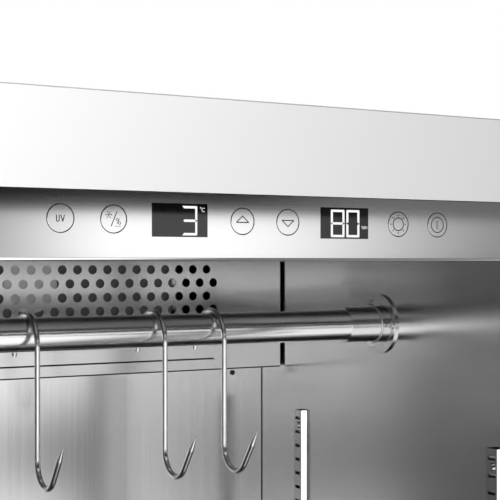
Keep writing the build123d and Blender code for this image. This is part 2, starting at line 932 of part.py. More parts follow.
# Salt tray: a drawn pan with a flat rim, standing on the chamber floor
tray_low = chamber_floor + tray_floor_gap
tray_middle, tray_depth = span(front + tray_setback, panel_wall_y - tray_rear_gap)
tray_half_width = mouth_half - tray_side_gap
with BuildPart() as salt_tray:
    with BuildSketch(level(tray_low)):
        with Locations((0, tray_middle)):
            RectangleRounded(2 * tray_half_width, tray_depth, tray_corner)
    extrude(amount=tray_height)
    with BuildSketch(level(tray_low + tray_height - tray_sheet)):
        with Locations((0, tray_middle)):
            RectangleRounded(
                2 * (tray_half_width + tray_rim), tray_depth + 2 * tray_rim, tray_corner + tray_rim
            )
    extrude(amount=tray_sheet)
    with BuildSketch(level(tray_low + tray_sheet)):
        with Locations((0, tray_middle)):
            RectangleRounded(
                2 * (tray_half_width - tray_sheet),
                tray_depth - 2 * tray_sheet,
                tray_corner - tray_sheet,
            )
    extrude(amount=tray_height, mode=Mode.SUBTRACT)
save(salt_tray, "salt_tray")

# Light bar: an aluminium channel under the ceiling with an opal lens
led_y = panel_rear + led_behind_panel + led_width / 2
led_half = mouth_half - led_end_room
with BuildPart() as led_bar:
    with BuildSketch(facing_right(-led_half)):
        rectangle_between(
            led_y - led_width / 2, led_y + led_width / 2, ceiling - led_height, ceiling
        )
        rectangle_between(
            led_y - lens_width / 2,
            led_y + lens_width / 2,
            ceiling - led_height,
            ceiling - led_height + lens_depth,
            Mode.SUBTRACT,
        )
    extrude(amount=2 * led_half)
save(led_bar, "led_bar")

with BuildPart() as led_lens:
    with BuildSketch(facing_right(-led_half)):
        rounded_between(
            led_y - lens_width / 2,
            led_y + lens_width / 2,
            ceiling - led_height - lens_proud,
            ceiling - led_height + lens_depth,
            bottom=lens_proud,
        )
    extrude(amount=2 * led_half)
save(led_lens, "led_lens")

# Germicidal lamp: a tube between two sockets that hang from the ceiling
lamp_y = cover_face - lamp_cover_gap
lamp_z = ceiling - lamp_drop
with BuildPart() as uv_lamp:
    with BuildSketch(facing_right(-lamp_half)):
        with Locations((lamp_y, lamp_z)):
            Circle(lamp_radius)
    extrude(amount=2 * lamp_half)
    for side in (-1, 1):
        with BuildSketch(facing_right(side * lamp_half)):
            with Locations((lamp_y, lamp_z)):
                Circle(lamp_cap_radius)
        extrude(amount=-side * lamp_cap_length)
save(uv_lamp, "uv_lamp")

with BuildPart() as lamp_holders:
    for side in (-1, 1):
        inner_x = side * (lamp_half - holder_grip)
        with BuildSketch(facing_right(inner_x)):
            rounded_between(
                lamp_y - holder_size[1] / 2,
                lamp_y + holder_size[1] / 2,
                ceiling - holder_size[2],
                ceiling,
                bottom=holder_size[1] / 3,
            )
        extrude(amount=side * holder_size[0])
        with BuildSketch(facing_right(inner_x)):
            with Locations((lamp_y, lamp_z)):
                Circle(lamp_cap_radius + running_fit)
        extrude(amount=side * holder_grip, mode=Mode.SUBTRACT)
save(lamp_holders, "lamp_holders")

# Air probe: a slotted guard on the left wall, over the humidity and temperature sensor
probe_y = front + probe_setback
probe_z = ceiling - probe_drop
with BuildPart() as air_probe:
    with BuildSketch(facing_right(-mouth_half)):
        with Locations((probe_y, probe_z)):
            RectangleRounded(probe_width, probe_height, probe_width / 4)
    extrude(amount=probe_depth)
    with BuildSketch(facing_right(-mouth_half + probe_depth)):
        with Locations((probe_y, probe_z)):
            with GridLocations(1, probe_height / (probe_slots + 1), 1, probe_slots):
                Rectangle(probe_width / 2, probe_height / probe_slots / 4)
    extrude(amount=-probe_depth / 2, mode=Mode.SUBTRACT)
save(air_probe, "air_probe")

# Base tray: the folded floor of the machine room, with tapped bosses for the feet
foot_x = half_width - foot_inset
foot_y = back - foot_inset
foot_points = {
    "foot_front_left": (-foot_x, -foot_y),
    "foot_front_right": (foot_x, -foot_y),
    "foot_rear_left": (-foot_x, foot_y),
    "foot_rear_right": (foot_x, foot_y),
}
with BuildPart() as base_tray:
    with BuildSketch(level(foot_height)):
        rectangle_between(-inside_half, inside_half, shell_front, back - sheet)
    extrude(amount=base_flange)
    with BuildSketch(level(base_top)):
        rectangle_between(
            -inside_half + base_sheet,
            inside_half - base_sheet,
            shell_front + base_sheet,
            back - sheet - base_sheet,
        )
    extrude(amount=base_flange, mode=Mode.SUBTRACT)
    with BuildSketch(level(base_top)):
        with Locations(list(foot_points.values())):
            Circle(boss_radius)
    extrude(amount=boss_height)
    with BuildSketch(level(foot_height)):
        with Locations(list(foot_points.values())):
            Circle(stud_radius + running_fit)
    extrude(amount=boss_height + base_sheet, mode=Mode.SUBTRACT)
save(base_tray, "base_tray")


def foot(name, place):
    """One levelling foot: a round pad, a nut and a stud that screws into the base."""
    with BuildPart() as piece:
        with BuildSketch(level(0)):
            with Locations(place):
                Circle(foot_pad_radius)
        extrude(amount=foot_pad_height)
        chamfer(piece.edges().group_by(Axis.Z)[-1], foot_pad_height / 3)
        with BuildSketch(level(foot_pad_height)):
            with Locations(place):
                RegularPolygon(foot_nut_radius, 6)
        extrude(amount=foot_height - foot_pad_height)
        with BuildSketch(level(foot_height)):
            with Locations(place):
                Circle(stud_radius)
        extrude(amount=stud_length)
    save(piece, name)


for name, place in foot_points.items():
    foot(name, place)

# Compressor: a welded dome on a plate with four rubber grommets, and its terminal box
compressor_x = inside_half - compressor_side_room
compressor_y = back - compressor_back_room
plate_low = base_top + grommet_height
shell_low = plate_low + compressor_plate[2]
with BuildPart() as compressor:
    with BuildSketch(level(base_top)):
        with Locations((compressor_x, compressor_y)):
            with GridLocations(
                compressor_plate[0] - 3 * grommet_radius,
                compressor_plate[1] - 3 * grommet_radius,
                2,
                2,
            ):
                Circle(grommet_radius)
    extrude(amount=grommet_height)
    with BuildSketch(level(plate_low)):
        with Locations((compressor_x, compressor_y)):
            RectangleRounded(compressor_plate[0], compressor_plate[1], grommet_radius)
    extrude(amount=compressor_plate[2])
    upright = Plane(
        origin=(compressor_x, compressor_y, shell_low), x_dir=(1, 0, 0), z_dir=(0, -1, 0)
    )
    with BuildSketch(upright):
        with BuildLine():
            flat = compressor_radius - compressor_dome
            middle = compressor_height / 2
            Polyline((0, compressor_height), (0, 0), (flat, 0))
            CenterArc((flat, compressor_dome), compressor_dome, -90, 90)
            Polyline(
                (compressor_radius, compressor_dome),
                (compressor_radius, middle - compressor_seam),
                (compressor_radius + compressor_seam, middle - compressor_seam),
                (compressor_radius + compressor_seam, middle + compressor_seam),
                (compressor_radius, middle + compressor_seam),
                (compressor_radius, compressor_height - compressor_dome),
            )
            CenterArc((flat, compressor_height - compressor_dome), compressor_dome, 0, 90)
            Line((flat, compressor_height), (0, compressor_height))
        make_face()
    revolve(axis=Axis((compressor_x, compressor_y, shell_low), (0, 0, 1)))
    with BuildSketch(level(shell_low + terminal_box_low)):
        with Locations((compressor_x, compressor_y - compressor_radius)):
            Rectangle(terminal_box[0], terminal_box[1])
    extrude(amount=terminal_box[2])
save(compressor, "compressor")

# Condenser and its fan: stand on the base behind the kick grille
condenser_front = shell_front + condenser_front_gap
condenser_x = boss_radius + condenser_boss_gap - foot_x + condenser_width / 2
finned_coil(
    "condenser",
    condenser_x,
    condenser_width / 2,
    condenser_front,
    condenser_depth,
    base_top,
    base_top + condenser_height,
    condenser_fins,
)
condenser_fan_y = condenser_front + condenser_depth
fan_housing("condenser_fan_housing", condenser_x, condenser_fan_y, base_top + fan_size / 2)
fan_rotor("condenser_fan_rotor", condenser_x, condenser_fan_y, base_top + fan_size / 2)

# Drain pan: catches the melt water beside the compressor
with BuildPart() as drain_pan:
    pan_x = drain_pan_side_room + drain_pan_width / 2 - inside_half
    pan_y = back - drain_pan_back_room - drain_pan_depth / 2
    with BuildSketch(level(base_top)):
        with Locations((pan_x, pan_y)):
            RectangleRounded(drain_pan_width, drain_pan_depth, drain_pan_corner)
    extrude(amount=drain_pan_height)
    with BuildSketch(level(base_top + drain_pan_wall)):
        with Locations((pan_x, pan_y)):
            RectangleRounded(
                drain_pan_width - 2 * drain_pan_wall,
                drain_pan_depth - 2 * drain_pan_wall,
                drain_pan_corner - drain_pan_wall,
            )
    extrude(amount=drain_pan_height, mode=Mode.SUBTRACT)
save(drain_pan, "drain_pan")

# Kick grille: the slotted front of the machine room
kick_slot_width = (case_width - 2 * (kick_slot_margin + kick_slot_web)) / kick_slot_columns
with BuildPart() as kick_grille:
    with BuildSketch(facing_front(front)):
        rectangle_between(-half_width, half_width, foot_height, deck_height)
        with Locations((0, (foot_height + deck_height) / 2)):
            with GridLocations(
                kick_slot_width + kick_slot_web,
                grille_slot_pitch,
                kick_slot_columns,
                kick_slot_rows,
            ):
                Rectangle(kick_slot_width, grille_slot_height, mode=Mode.SUBTRACT)
    extrude(amount=-frame_depth)
save(kick_grille, "kick_grille")

# Rear grille: the slotted back of the machine room, with the power inlet's window
inlet_x = inside_half - inlet_side_room
inlet_z = deck_height - inlet_drop
with BuildPart() as rear_grille:
    with BuildSketch(facing_front(back - sheet)):
        rectangle_between(-inside_half, inside_half, base_top, deck_height)
        with Locations((-rear_slot_apart / 3, (base_top + base_flange + deck_height) / 2)):
            with GridLocations(rear_slot_apart, grille_slot_pitch, 2, rear_slot_rows):
                Rectangle(rear_slot_width, grille_slot_height, mode=Mode.SUBTRACT)
        with Locations((inlet_x, inlet_z)):
            Rectangle(inlet_body[0], inlet_body[1], mode=Mode.SUBTRACT)
    extrude(amount=-sheet)
save(rear_grille, "rear_grille")

# Power inlet: a panel socket for a detachable lead, with three flat pins
with BuildPart() as power_inlet:
    inlet_face = Plane(
        origin=(inlet_x, back + inlet_flange[2], inlet_z), x_dir=(-1, 0, 0), z_dir=(0, 1, 0)
    )
    with BuildSketch(inlet_face):
        RectangleRounded(inlet_flange[0], inlet_flange[1], inlet_flange[2])
    extrude(amount=-inlet_flange[2])
    with BuildSketch(inlet_face):
        Rectangle(inlet_body[0], inlet_body[1])
    extrude(amount=-inlet_body[2])
    with BuildSketch(inlet_face):
        RectangleRounded(inlet_recess[0], inlet_recess[1], inlet_flange[2])
    extrude(amount=-inlet_recess[2], mode=Mode.SUBTRACT)
    with BuildSketch(inlet_face.offset(-inlet_recess[2])):
        with Locations(
            (-inlet_pin_spread, -inlet_pin_rise),
            (inlet_pin_spread, -inlet_pin_rise),
            (0, inlet_pin_rise),
        ):
            Rectangle(inlet_pin[0], inlet_pin[1])
    extrude(amount=inlet_pin[2])
save(power_inlet, "power_inlet")

# The door's own plane: the origin is its hinge line, x runs along the closed door to the right,
# y runs to its inner side. The door stands open by the door angle.
hinge_x = half_width - hinge_inset
hinge_y = front - gasket_clearance - gasket_depth - door_thickness / 2
door_turn = radians(door_angle)
door_swing = Plane(
    origin=(hinge_x, hinge_y, 0), x_dir=(cos(door_turn), sin(door_turn), 0), z_dir=(0, 0, 1)
)
door_low_x = hinge_inset - case_width
door_high_x = hinge_inset
door_bottom = deck_height + door_bottom_gap
door_top = case_height - door_top_drop
door_outside = -door_thickness / 2
door_inside = door_thickness / 2
glass_outer_y = door_outside + door_lip
glass_inner_y = glass_outer_y + pane_thickness + pane_space
trim_y = glass_inner_y + pane_thickness


def door_face(depth):
    """A plane parallel to the door at a depth from its hinge line, its normal to the outside."""
    return Plane(
        origin=door_swing.from_local_coords((0, depth, 0)),
        x_dir=door_swing.x_dir,
        z_dir=-door_swing.y_dir,
    )


def door_rectangle(inset, mode=Mode.ADD):
    """The door's outline in the open sketch, pulled in by an inset on all four sides."""
    rectangle_between(
        door_low_x + inset, door_high_x - inset, door_bottom + inset, door_top - inset, mode
    )


# Door frame: a deep stainless ring with a rebate for the glass and holes for the hinge bushes
with BuildPart() as door_frame:
    with BuildSketch(door_face(door_outside)):
        door_rectangle(0)
        door_rectangle(door_member, Mode.SUBTRACT)
    extrude(amount=-door_thickness)
    with BuildSketch(door_face(glass_outer_y)):
        door_rectangle(door_member - door_rebate)
    extrude(amount=-door_thickness, mode=Mode.SUBTRACT)
    outside_face = door_frame.faces().sort_by(Axis(door_swing.origin, door_swing.y_dir))[0]
    fillet(outside_face.outer_wire().edges(), door_edge_radius)
    for start, way in ((door_bottom, 1), (door_top, -1)):
        with BuildSketch(door_swing.offset(start)):
            Circle(bush_radius + running_fit)
        extrude(amount=way * (bush_length + hinge_gap), mode=Mode.SUBTRACT)
save(door_frame, "door_frame")


def door_pane(name, depth):
    """One sheet of door glass, set in the rebate."""
    with BuildPart() as pane:
        with BuildSketch(door_face(depth)):
            door_rectangle(door_member - door_rebate + pane_edge_gap)
        extrude(amount=-pane_thickness)
    save(pane, name)


def door_ring(name, depth, thickness, inset, width):
    """One closed ring of the door, from its depth inwards."""
    with BuildPart() as ring:
        with BuildSketch(door_face(depth)):
            door_rectangle(inset)
            door_rectangle(inset + width, Mode.SUBTRACT)
        extrude(amount=-thickness)
    save(ring, name)


door_pane("door_glass_outer", glass_outer_y)
door_ring(
    "glass_spacer",
    glass_outer_y + pane_thickness,
    pane_space,
    door_member - door_rebate + pane_edge_gap + spacer_inset,
    spacer_width,
)
door_pane("door_glass_inner", glass_inner_y)

# Door trim: the inner ring that clamps the glass, with a sloping reveal
with BuildPart() as door_trim:
    with BuildSketch(door_face(trim_y)):
        door_rectangle(door_member - door_rebate + trim_gap)
        door_rectangle(door_member + trim_overlap, Mode.SUBTRACT)
    extrude(amount=-(door_inside - trim_y))
    inner_face = door_trim.faces().sort_by(Axis(door_swing.origin, door_swing.y_dir))[-1]
    chamfer(inner_face.inner_wires()[0].edges(), trim_chamfer)
save(door_trim, "door_trim")

# Door gasket: a soft magnetic ring on a narrower foot
with BuildPart() as door_gasket:
    with BuildSketch(door_face(door_inside)):
        door_rectangle(gasket_inset + gasket_foot_inset)
        door_rectangle(gasket_inset + gasket_width - gasket_foot_inset, Mode.SUBTRACT)
    extrude(amount=-gasket_foot_depth)
    with BuildSketch(door_face(door_inside + gasket_foot_depth)):
        door_rectangle(gasket_inset)
        door_rectangle(gasket_inset + gasket_width, Mode.SUBTRACT)
    extrude(amount=-(gasket_depth - gasket_foot_depth))
save(door_gasket, "door_gasket")

# Door handle: an upright round bar on two posts near the free edge
handle_x = door_low_x + handle_inset
handle_low = (door_bottom + door_top - handle_length) / 2
with BuildPart() as door_handle:
    with BuildSketch(door_swing.offset(handle_low)):
        with Locations((handle_x, door_outside - handle_reach)):
            Circle(handle_radius)
    extrude(amount=handle_length)
    with BuildSketch(door_face(door_outside)):
        with Locations(
            (handle_x, handle_low + handle_post_inset),
            (handle_x, handle_low + handle_length - handle_post_inset),
        ):
            Circle(handle_post_radius)
    extrude(amount=handle_reach)
save(door_handle, "door_handle")

# Door hinges: an angle bracket above and below the door, each with its pin
with BuildPart() as door_hinges:
    for edge, way in ((door_top, 1), (door_bottom, -1)):
        arm_low = edge + way * hinge_gap
        arm_high = arm_low + way * hinge_plate
        leg_end = arm_high - way * hinge_leg_height
        with BuildSketch(facing_front(front)):
            rectangle_between(
                hinge_x + hinge_arm_half - hinge_leg_length - hinge_gap,
                half_width - hinge_gap,
                min(arm_high, leg_end),
                max(arm_high, leg_end),
            )
        extrude(amount=hinge_leg_sheet)
        with BuildSketch(level(arm_low)):
            rounded_between(
                hinge_x - hinge_arm_half,
                half_width - hinge_gap,
                hinge_y - hinge_arm_half,
                front,
                bottom=hinge_arm_half / 2,
            )
        extrude(amount=way * hinge_plate)
        with BuildSketch(door_swing.offset(arm_low)):
            Circle(hinge_pin_radius)
        extrude(amount=-way * hinge_pin_length)
save(door_hinges, "door_hinges")

# Hinge bushes: flanged sleeves in the door that turn on the pins
with BuildPart() as hinge_bushes:
    for edge, way in ((door_top, 1), (door_bottom, -1)):
        with BuildSketch(door_swing.offset(edge)):
            Circle(bush_flange_radius)
        extrude(amount=way * bush_flange)
        with BuildSketch(door_swing.offset(edge)):
            Circle(bush_radius)
        extrude(amount=-way * bush_length)
        with BuildSketch(door_swing.offset(edge + way * bush_flange)):
            Circle(hinge_pin_radius + running_fit)
        extrude(amount=-way * (bush_flange + bush_length), mode=Mode.SUBTRACT)
save(hinge_bushes, "hinge_bushes")
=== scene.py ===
from math import pi, radians

import bmesh
import bpy
import numpy as np
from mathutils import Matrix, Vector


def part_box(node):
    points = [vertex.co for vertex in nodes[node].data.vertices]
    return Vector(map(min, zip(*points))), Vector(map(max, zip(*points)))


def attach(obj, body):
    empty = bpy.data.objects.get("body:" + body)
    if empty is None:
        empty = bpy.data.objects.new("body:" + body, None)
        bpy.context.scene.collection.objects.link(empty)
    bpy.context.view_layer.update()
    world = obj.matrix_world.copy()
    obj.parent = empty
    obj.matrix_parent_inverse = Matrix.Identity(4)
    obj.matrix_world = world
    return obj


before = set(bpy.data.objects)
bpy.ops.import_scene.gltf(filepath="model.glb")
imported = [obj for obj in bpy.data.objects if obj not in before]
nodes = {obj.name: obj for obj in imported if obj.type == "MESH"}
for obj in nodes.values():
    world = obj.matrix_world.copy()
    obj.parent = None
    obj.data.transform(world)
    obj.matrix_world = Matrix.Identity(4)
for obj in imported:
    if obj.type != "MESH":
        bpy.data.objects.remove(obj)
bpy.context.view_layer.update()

# The eye stands before the cabinet's left edge, just under the top of the mouth. It looks level
# into the chamber, turned to the right, so the open door stays beside the picture.
eye = bpy.data.cameras.new("eye")
eye.sensor_width = 36.0
eye.lens = 88.03
eye.shift_y = 0.0225
eye_stand = bpy.data.objects.new("eye", eye)
eye_stand.location = (-0.3541, -0.880, 1.1791)
eye_stand.rotation_euler = (radians(90), 0, radians(-29.8))
bpy.context.scene.collection.objects.link(eye_stand)
bpy.context.scene.camera = eye_stand
bpy.context.scene.view_settings.view_transform = "Standard"

# The casing is one thin steel sheet folded over both sides and the top, powder coated white.
# The coat has a fine orange peel and is a little duller where hands and cloths rub it.


class Feed:
    """A value on its way through one material. Sums on feeds and numbers add Math nodes."""

    def __init__(self, tree, socket=None):
        self.tree = tree
        self.socket = socket

    def node(self, kind, settings=None, sockets=None, out=0):
        """Adds one node: its settings first, then the values or links of its sockets."""
        made = self.tree.nodes.new("ShaderNode" + kind)
        for name, value in (settings or {}).items():
            setattr(made, name, value)
        for name, value in (sockets or {}).items():
            self.plug(made.inputs[name], value)
        return Feed(self.tree, made.outputs[out])

    def plug(self, place, value):
        """Links a feed to a socket, or sets the socket to a plain value."""
        if isinstance(value, Feed):
            self.tree.links.new(value.socket, place)
        else:
            place.default_value = value

    def maths(self, operation, *values):
        """One Math node on the values in their order."""
        return self.node("Math", {"operation": operation}, dict(enumerate(values)))

    def __add__(self, other):
        return self.maths("ADD", self, other)

    def __radd__(self, other):
        return self.maths("ADD", other, self)

    def __sub__(self, other):
        return self.maths("SUBTRACT", self, other)

    def __rsub__(self, other):
        return self.maths("SUBTRACT", other, self)

    def __mul__(self, other):
        return self.maths("MULTIPLY", self, other)

    def __rmul__(self, other):
        return self.maths("MULTIPLY", other, self)

    def __truediv__(self, other):
        return self.maths("DIVIDE", self, other)

    def __rtruediv__(self, other):
        return self.maths("DIVIDE", other, self)

    def __neg__(self):
        return 0.0 - self

    def __abs__(self):
        return self.maths("ABSOLUTE", self)

    def least(self, other):
        """The smaller of this value and the other."""
        return self.maths("MINIMUM", self, other)

    def most(self, other):
        """The larger of this value and the other."""
        return self.maths("MAXIMUM", self, other)

    def rises(self, low, high):
        """0 below `low`, 1 above `high`, and a smooth step between them."""
        return self.node(
            "MapRange",
            {"interpolation_type": "SMOOTHSTEP"},
            {"Value": self, "From Min": low, "From Max": high},
        )

    def along(self, axis):
        """The place along one axis, in metres."""
        return self.node("SeparateXYZ", sockets={0: self}, out=axis)

    def squeezed(self, per_metre):
        """The place with each axis multiplied by its own number of waves a metre."""
        return self.node("VectorMath", {"operation": "MULTIPLY"}, {0: self, 1: per_metre})

    def grain(self, per_metre, detail=2.0, roughness=0.5):
        """Noise over the place, squeezed so that its streaks run along the smallest number."""
        where = self.squeezed(per_metre)
        return self.node(
            "TexNoise",
            sockets={"Vector": where, "Scale": 1.0, "Detail": detail, "Roughness": roughness},
        )

    def bands(self, axis, scale):
        """Soft stripes across one axis. A scale of 1 gives 3.2 of them a metre."""
        return self.node(
            "TexWave",
            {"wave_type": "BANDS", "bands_direction": axis},
            {"Vector": self, "Scale": scale},
        )

    def between(self, first, second):
        """The colour that lies this far from the first colour to the second."""
        return self.node(
            "Mix", {"data_type": "RGBA"}, {0: self, 6: (*first, 1), 7: (*second, 1)}, out=2
        )

    def mixed(self, first, colour):
        """A colour feed, turned towards a plain colour by this share."""
        return self.node("Mix", {"data_type": "RGBA"}, {0: self, 6: first, 7: (*colour, 1)}, out=2)

    def raised(self, height):
        """The surface's normal, tilted as a relief of this height in metres would tilt it."""
        return self.node("Bump", sockets={"Strength": 1.0, "Distance": height, "Height": self})


def finish(name, recipe, still=None):
    """A material: `recipe` takes the place on the piece and gives what varies over it, and
    `still` holds what is the same all over it."""
    material = bpy.data.materials.new(name)
    material.use_nodes = True
    tree = material.node_tree
    shader = tree.nodes["Principled BSDF"]
    place = Feed(tree).node("TexCoord", out="Object")
    for socket, value in {**(still or {}), **recipe(place)}.items():
        place.plug(shader.inputs[socket], value)
    return material


def dress(material, *names):
    """Gives CAD nodes their finish."""
    for name in names:
        for slot in nodes[name].material_slots:
            slot.material = material


def coated(tone, rough):
    """A coat of paint: orange peel under 1 mm across, and a slow change of shade and shine."""

    def recipe(place):
        peel = place.grain((1300, 1300, 1300), 1.0)
        cloud = place.grain((3, 3, 3), 2.0)
        darker = tuple(0.975 * part for part in tone)
        return {
            "Base Color": (0.9 * cloud + 0.1 * peel).between(darker, tone),
            "Roughness": rough + 0.10 * (cloud - 0.5) + 0.04 * peel,
            "Normal": peel.raised(0.000004),
        }

    return recipe


dress(finish("casing_coat", coated((0.80, 0.80, 0.795), 0.34)), "outer_casing")

# The back panel is a bare zinc coated sheet, stepped over the machine room. Its zinc crystals
# show as a patchwork of slightly different greys.


def metal(name, recipe, still=None):
    """A finish of bare metal."""
    return finish(name, recipe, {"Metallic": 1.0, **(still or {})})


def zinc_spangle(place):
    """Crystals about 10 mm across, each with its own grey, under a little dust."""
    crystal = place.node(
        "TexVoronoi",
        {"feature": "F1"},
        {"Vector": place, "Scale": 95.0, "Randomness": 1.0},
        "Color",
    )
    shade = crystal.along("X")
    dust = place.grain((9, 9, 9), 4.0)
    return {
        "Base Color": (0.75 * shade + 0.25 * dust).between((0.42, 0.43, 0.44), (0.62, 0.63, 0.64)),
        "Roughness": 0.34 + 0.16 * shade + 0.08 * dust,
        "Normal": dust.raised(0.0002),
    }


zinc_sheet = metal("zinc_sheet", zinc_spangle)
dress(zinc_sheet, "back_panel")

# The insulation is polyurethane foamed in place between casing and liner. It is pale yellow
# with fine cells and a smoother skin where it meets the sheets.


def foam_cells(place):
    """Cells of about 1 mm under slow changes of yellow."""
    cell = place.node("TexVoronoi", {"feature": "F1"}, {"Vector": place, "Scale": 900.0})
    cloud = place.grain((14, 14, 14), 4.0)
    return {
        "Base Color": (0.5 * cell + 0.5 * cloud).between((0.66, 0.56, 0.33), (0.86, 0.78, 0.55)),
        "Roughness": 0.85 + 0.1 * cell,
        "Normal": cell.raised(0.0006),
    }


dress(finish("foam", foam_cells), "insulation_foam")

# The liner is bright cold rolled stainless sheet with coved floor corners, welded and polished
# inside. It has a faint mill grain and a few rub marks.


def steel(tone, grain, rough, contrast=0.12, spread=0.08, depth=0.0):
    """Stainless: `grain` is its streaks a metre, `contrast` and `spread` are how far shade and
    shine change from streak to streak, and `depth` is the height of the streaks in metres."""

    def recipe(place):
        streak = place.grain(grain, 3.0, 0.65)
        cloud = place.grain((3, 3, 3), 2.0)
        pale = (tone, tone, tone * 1.003)
        dark = tuple(part * (1 - contrast) for part in pale)
        look = {
            "Base Color": (0.8 * streak + 0.2 * cloud).between(dark, pale),
            "Roughness": rough + spread * (streak - 0.5) + 0.4 * spread * (cloud - 0.5),
        }
        return {**look, "Normal": streak.raised(depth)} if depth else look

    return recipe


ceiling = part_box("control_panel")[1].z


def liner_steel(place):
    """Bright walls under a ceiling sheet painted dark grey and made rougher: the grey is painted
    shade.
    """
    look = steel(0.79, (1200, 1200, 1200), 0.19, 0.04, 0.03)(place)
    # The ceiling's dark grey is painted shade, so that polished steel below it mirrors a dark
    # ceiling.
    ceiling_shade = place.along("Z").rises(ceiling - 0.0025, ceiling - 0.0010)
    look["Base Color"] = ceiling_shade.mixed(look["Base Color"], (0.28, 0.28, 0.28))
    look["Roughness"] = look["Roughness"] + 0.2 * ceiling_shade
    return look


dress(metal("liner_sheet", liner_steel), "inner_liner")

# The front frame is a smooth ring round the mouth that the gasket seals against. It is coated
# like the casing and rubbed smoother. Where its rolled outer edge meets the casing, a fine grey
# joint runs all round: its grey is painted shade of the gap there.
dress(finish("frame_coat", coated((0.88, 0.88, 0.88), 0.30)), "front_frame")


def moulded(tone, rough):
    """Moulded plastic or rubber: a fine eroded skin and a slow change of shine."""

    def recipe(place):
        skin = place.grain((700, 700, 700), 2.0)
        cloud = place.grain((12, 12, 12), 2.0)
        darker = tuple(0.82 * part for part in tone)
        return {
            "Base Color": (0.4 * skin + 0.6 * cloud).between(darker, tone),
            "Roughness": rough + 0.14 * (cloud - 0.5) + 0.08 * (skin - 0.5),
            "Normal": skin.raised(0.00005),
        }

    return recipe


def quads(rows, columns):
    """The faces of a grid of points that are numbered row by row, each row closed round."""
    row, column = np.meshgrid(np.arange(rows - 1), np.arange(columns), indexing="ij")
    beside = (column + 1) % columns
    corners = (
        row * columns + column,
        row * columns + beside,
        (row + 1) * columns + beside,
        (row + 1) * columns + column,
    )
    return np.stack(corners, -1).reshape(-1, 4)


def build(name, shells, material, body, smooth=False, closed=False):
    """One piece from shells, each a grid of points whose rows are closed rings with flat ends.

    Every shell is an array of rows by columns by 3. Its first and last rows are capped, or they
    are joined to each other where the shell is closed both ways, as a ring is."""
    points, faces, start = [], [], 0
    for shell in shells:
        rows, columns = shell.shape[:2]
        points.append(shell.reshape(-1, 3))
        if closed:
            faces += (quads(rows + 1, columns) % (rows * columns) + start).tolist()
        else:
            last = start + (rows - 1) * columns
            faces += (quads(rows, columns) + start).tolist()
            faces.append(list(range(start + columns - 1, start - 1, -1)))
            faces.append(list(range(last, last + columns)))
        start += rows * columns
    mesh = bpy.data.meshes.new(name)
    mesh.from_pydata(np.concatenate(points).tolist(), [], faces)
    mesh.validate()
    skin = bmesh.new()
    skin.from_mesh(mesh)
    bmesh.ops.recalc_face_normals(skin, faces=skin.faces)
    skin.to_mesh(mesh)
    skin.free()
    mesh.polygons.foreach_set("use_smooth", np.full(len(mesh.polygons), smooth))
    mesh.materials.append(material)
    piece = bpy.data.objects.new(name, mesh)
    bpy.context.scene.collection.objects.link(piece)
    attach(piece, body)


def loop_round(profile, middle, reach):
    """A bar round a rectangle in the x-z plane, mitred at its corners.

    Profile point (inset, y) passes each corner at middle + (+-1, +-1) * (reach - inset)."""
    corners = np.array([(-1, -1), (1, -1), (1, 1), (-1, 1)])
    edges = [np.insert(middle + corners * (reach - inset), 1, y, axis=1) for inset, y in profile]
    return np.stack(edges, 1)


frame_low, frame_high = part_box("front_frame")
frame_middle = np.array([0, (frame_low.z + frame_high.z) / 2])
frame_reach = np.array([frame_high.x, (frame_high.z - frame_low.z) / 2])
joint_wide = 0.0006
joint_back, joint_face = frame_low.y + 0.00005, frame_low.y - 0.00003
joint_profile = [
    (joint_wide, joint_back), (joint_wide, joint_face), (0.0, joint_face), (0.0, joint_back)
]
# The joint's grey is painted shade of the gap between frame and casing.
build(
    "frame_joint",
    [loop_round(joint_profile, frame_middle, frame_reach)],
    finish("joint_shade_grey", moulded((0.50, 0.50, 0.50), 0.5)),
    "cabinet",
    closed=True,
)

# Inside the mouth a thin dark plastic strip on each side keeps the cold liner off the warm front
# frame. It is pressed on and starts at the frame's edge.


def oblong(near, far):
    """The four corners of a rectangle, from its near corner to its far one."""
    return np.array([near, (far[0], near[1]), far, (near[0], far[1])])


def upright_bar(outline, low, high):
    """A bar that stands upright: its outline's points (x, y) are the same from z low to high."""
    return np.stack([np.insert(outline, 2, z, axis=1) for z in (low, high)])


wall_x, strip_off, strip_thick, strip_deep = 0.25, 0.00005, 0.0005, 0.05
mouth_low, mouth_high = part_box("inner_liner")[0].z + 0.012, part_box("control_panel")[0].z - 0.001
strip_outline = oblong(
    (wall_x - strip_off - strip_thick, frame_low.y), (wall_x - strip_off, frame_low.y + strip_deep)
)
build(
    "mouth_strips",
    [upright_bar(strip_outline * (side, 1), mouth_low, mouth_high) for side in (-1, 1)],
    finish("mouth_plastic", moulded((0.10, 0.10, 0.10), 0.4)),
    "cabinet",
)

# The evaporator's parts hang behind the wall panel: a fin block of aluminium between galvanised
# end plates, and a black fan with a glossier wheel.


def fin_metal(place):
    """Fins 3 mm apart, drawn as pale and dark bands: the dark bands between the fins are painted
    shade, under a little dust.
    """
    rib_and_shade = place.bands("X", 95.0)
    dust = place.grain((40, 40, 40), 3.0)
    return {
        # The dark bands between the fins are painted shade.
        "Base Color": (0.7 * rib_and_shade + 0.3 * dust).between((0.30, 0.31, 0.32), (0.74, 0.75, 0.76)),
        "Roughness": 0.32 + 0.2 * dust,
        "Normal": rib_and_shade.raised(0.0008),
    }


dress(metal("fin_block", fin_metal), "evaporator_coil")
fan_plastic = finish("fan_plastic", moulded((0.022, 0.022, 0.024), 0.5))
wheel_plastic = finish("wheel_plastic", moulded((0.03, 0.03, 0.033), 0.32))
dress(fan_plastic, "evaporator_fan_housing", "condenser_fan_housing")
dress(wheel_plastic, "evaporator_fan_rotor", "condenser_fan_rotor")

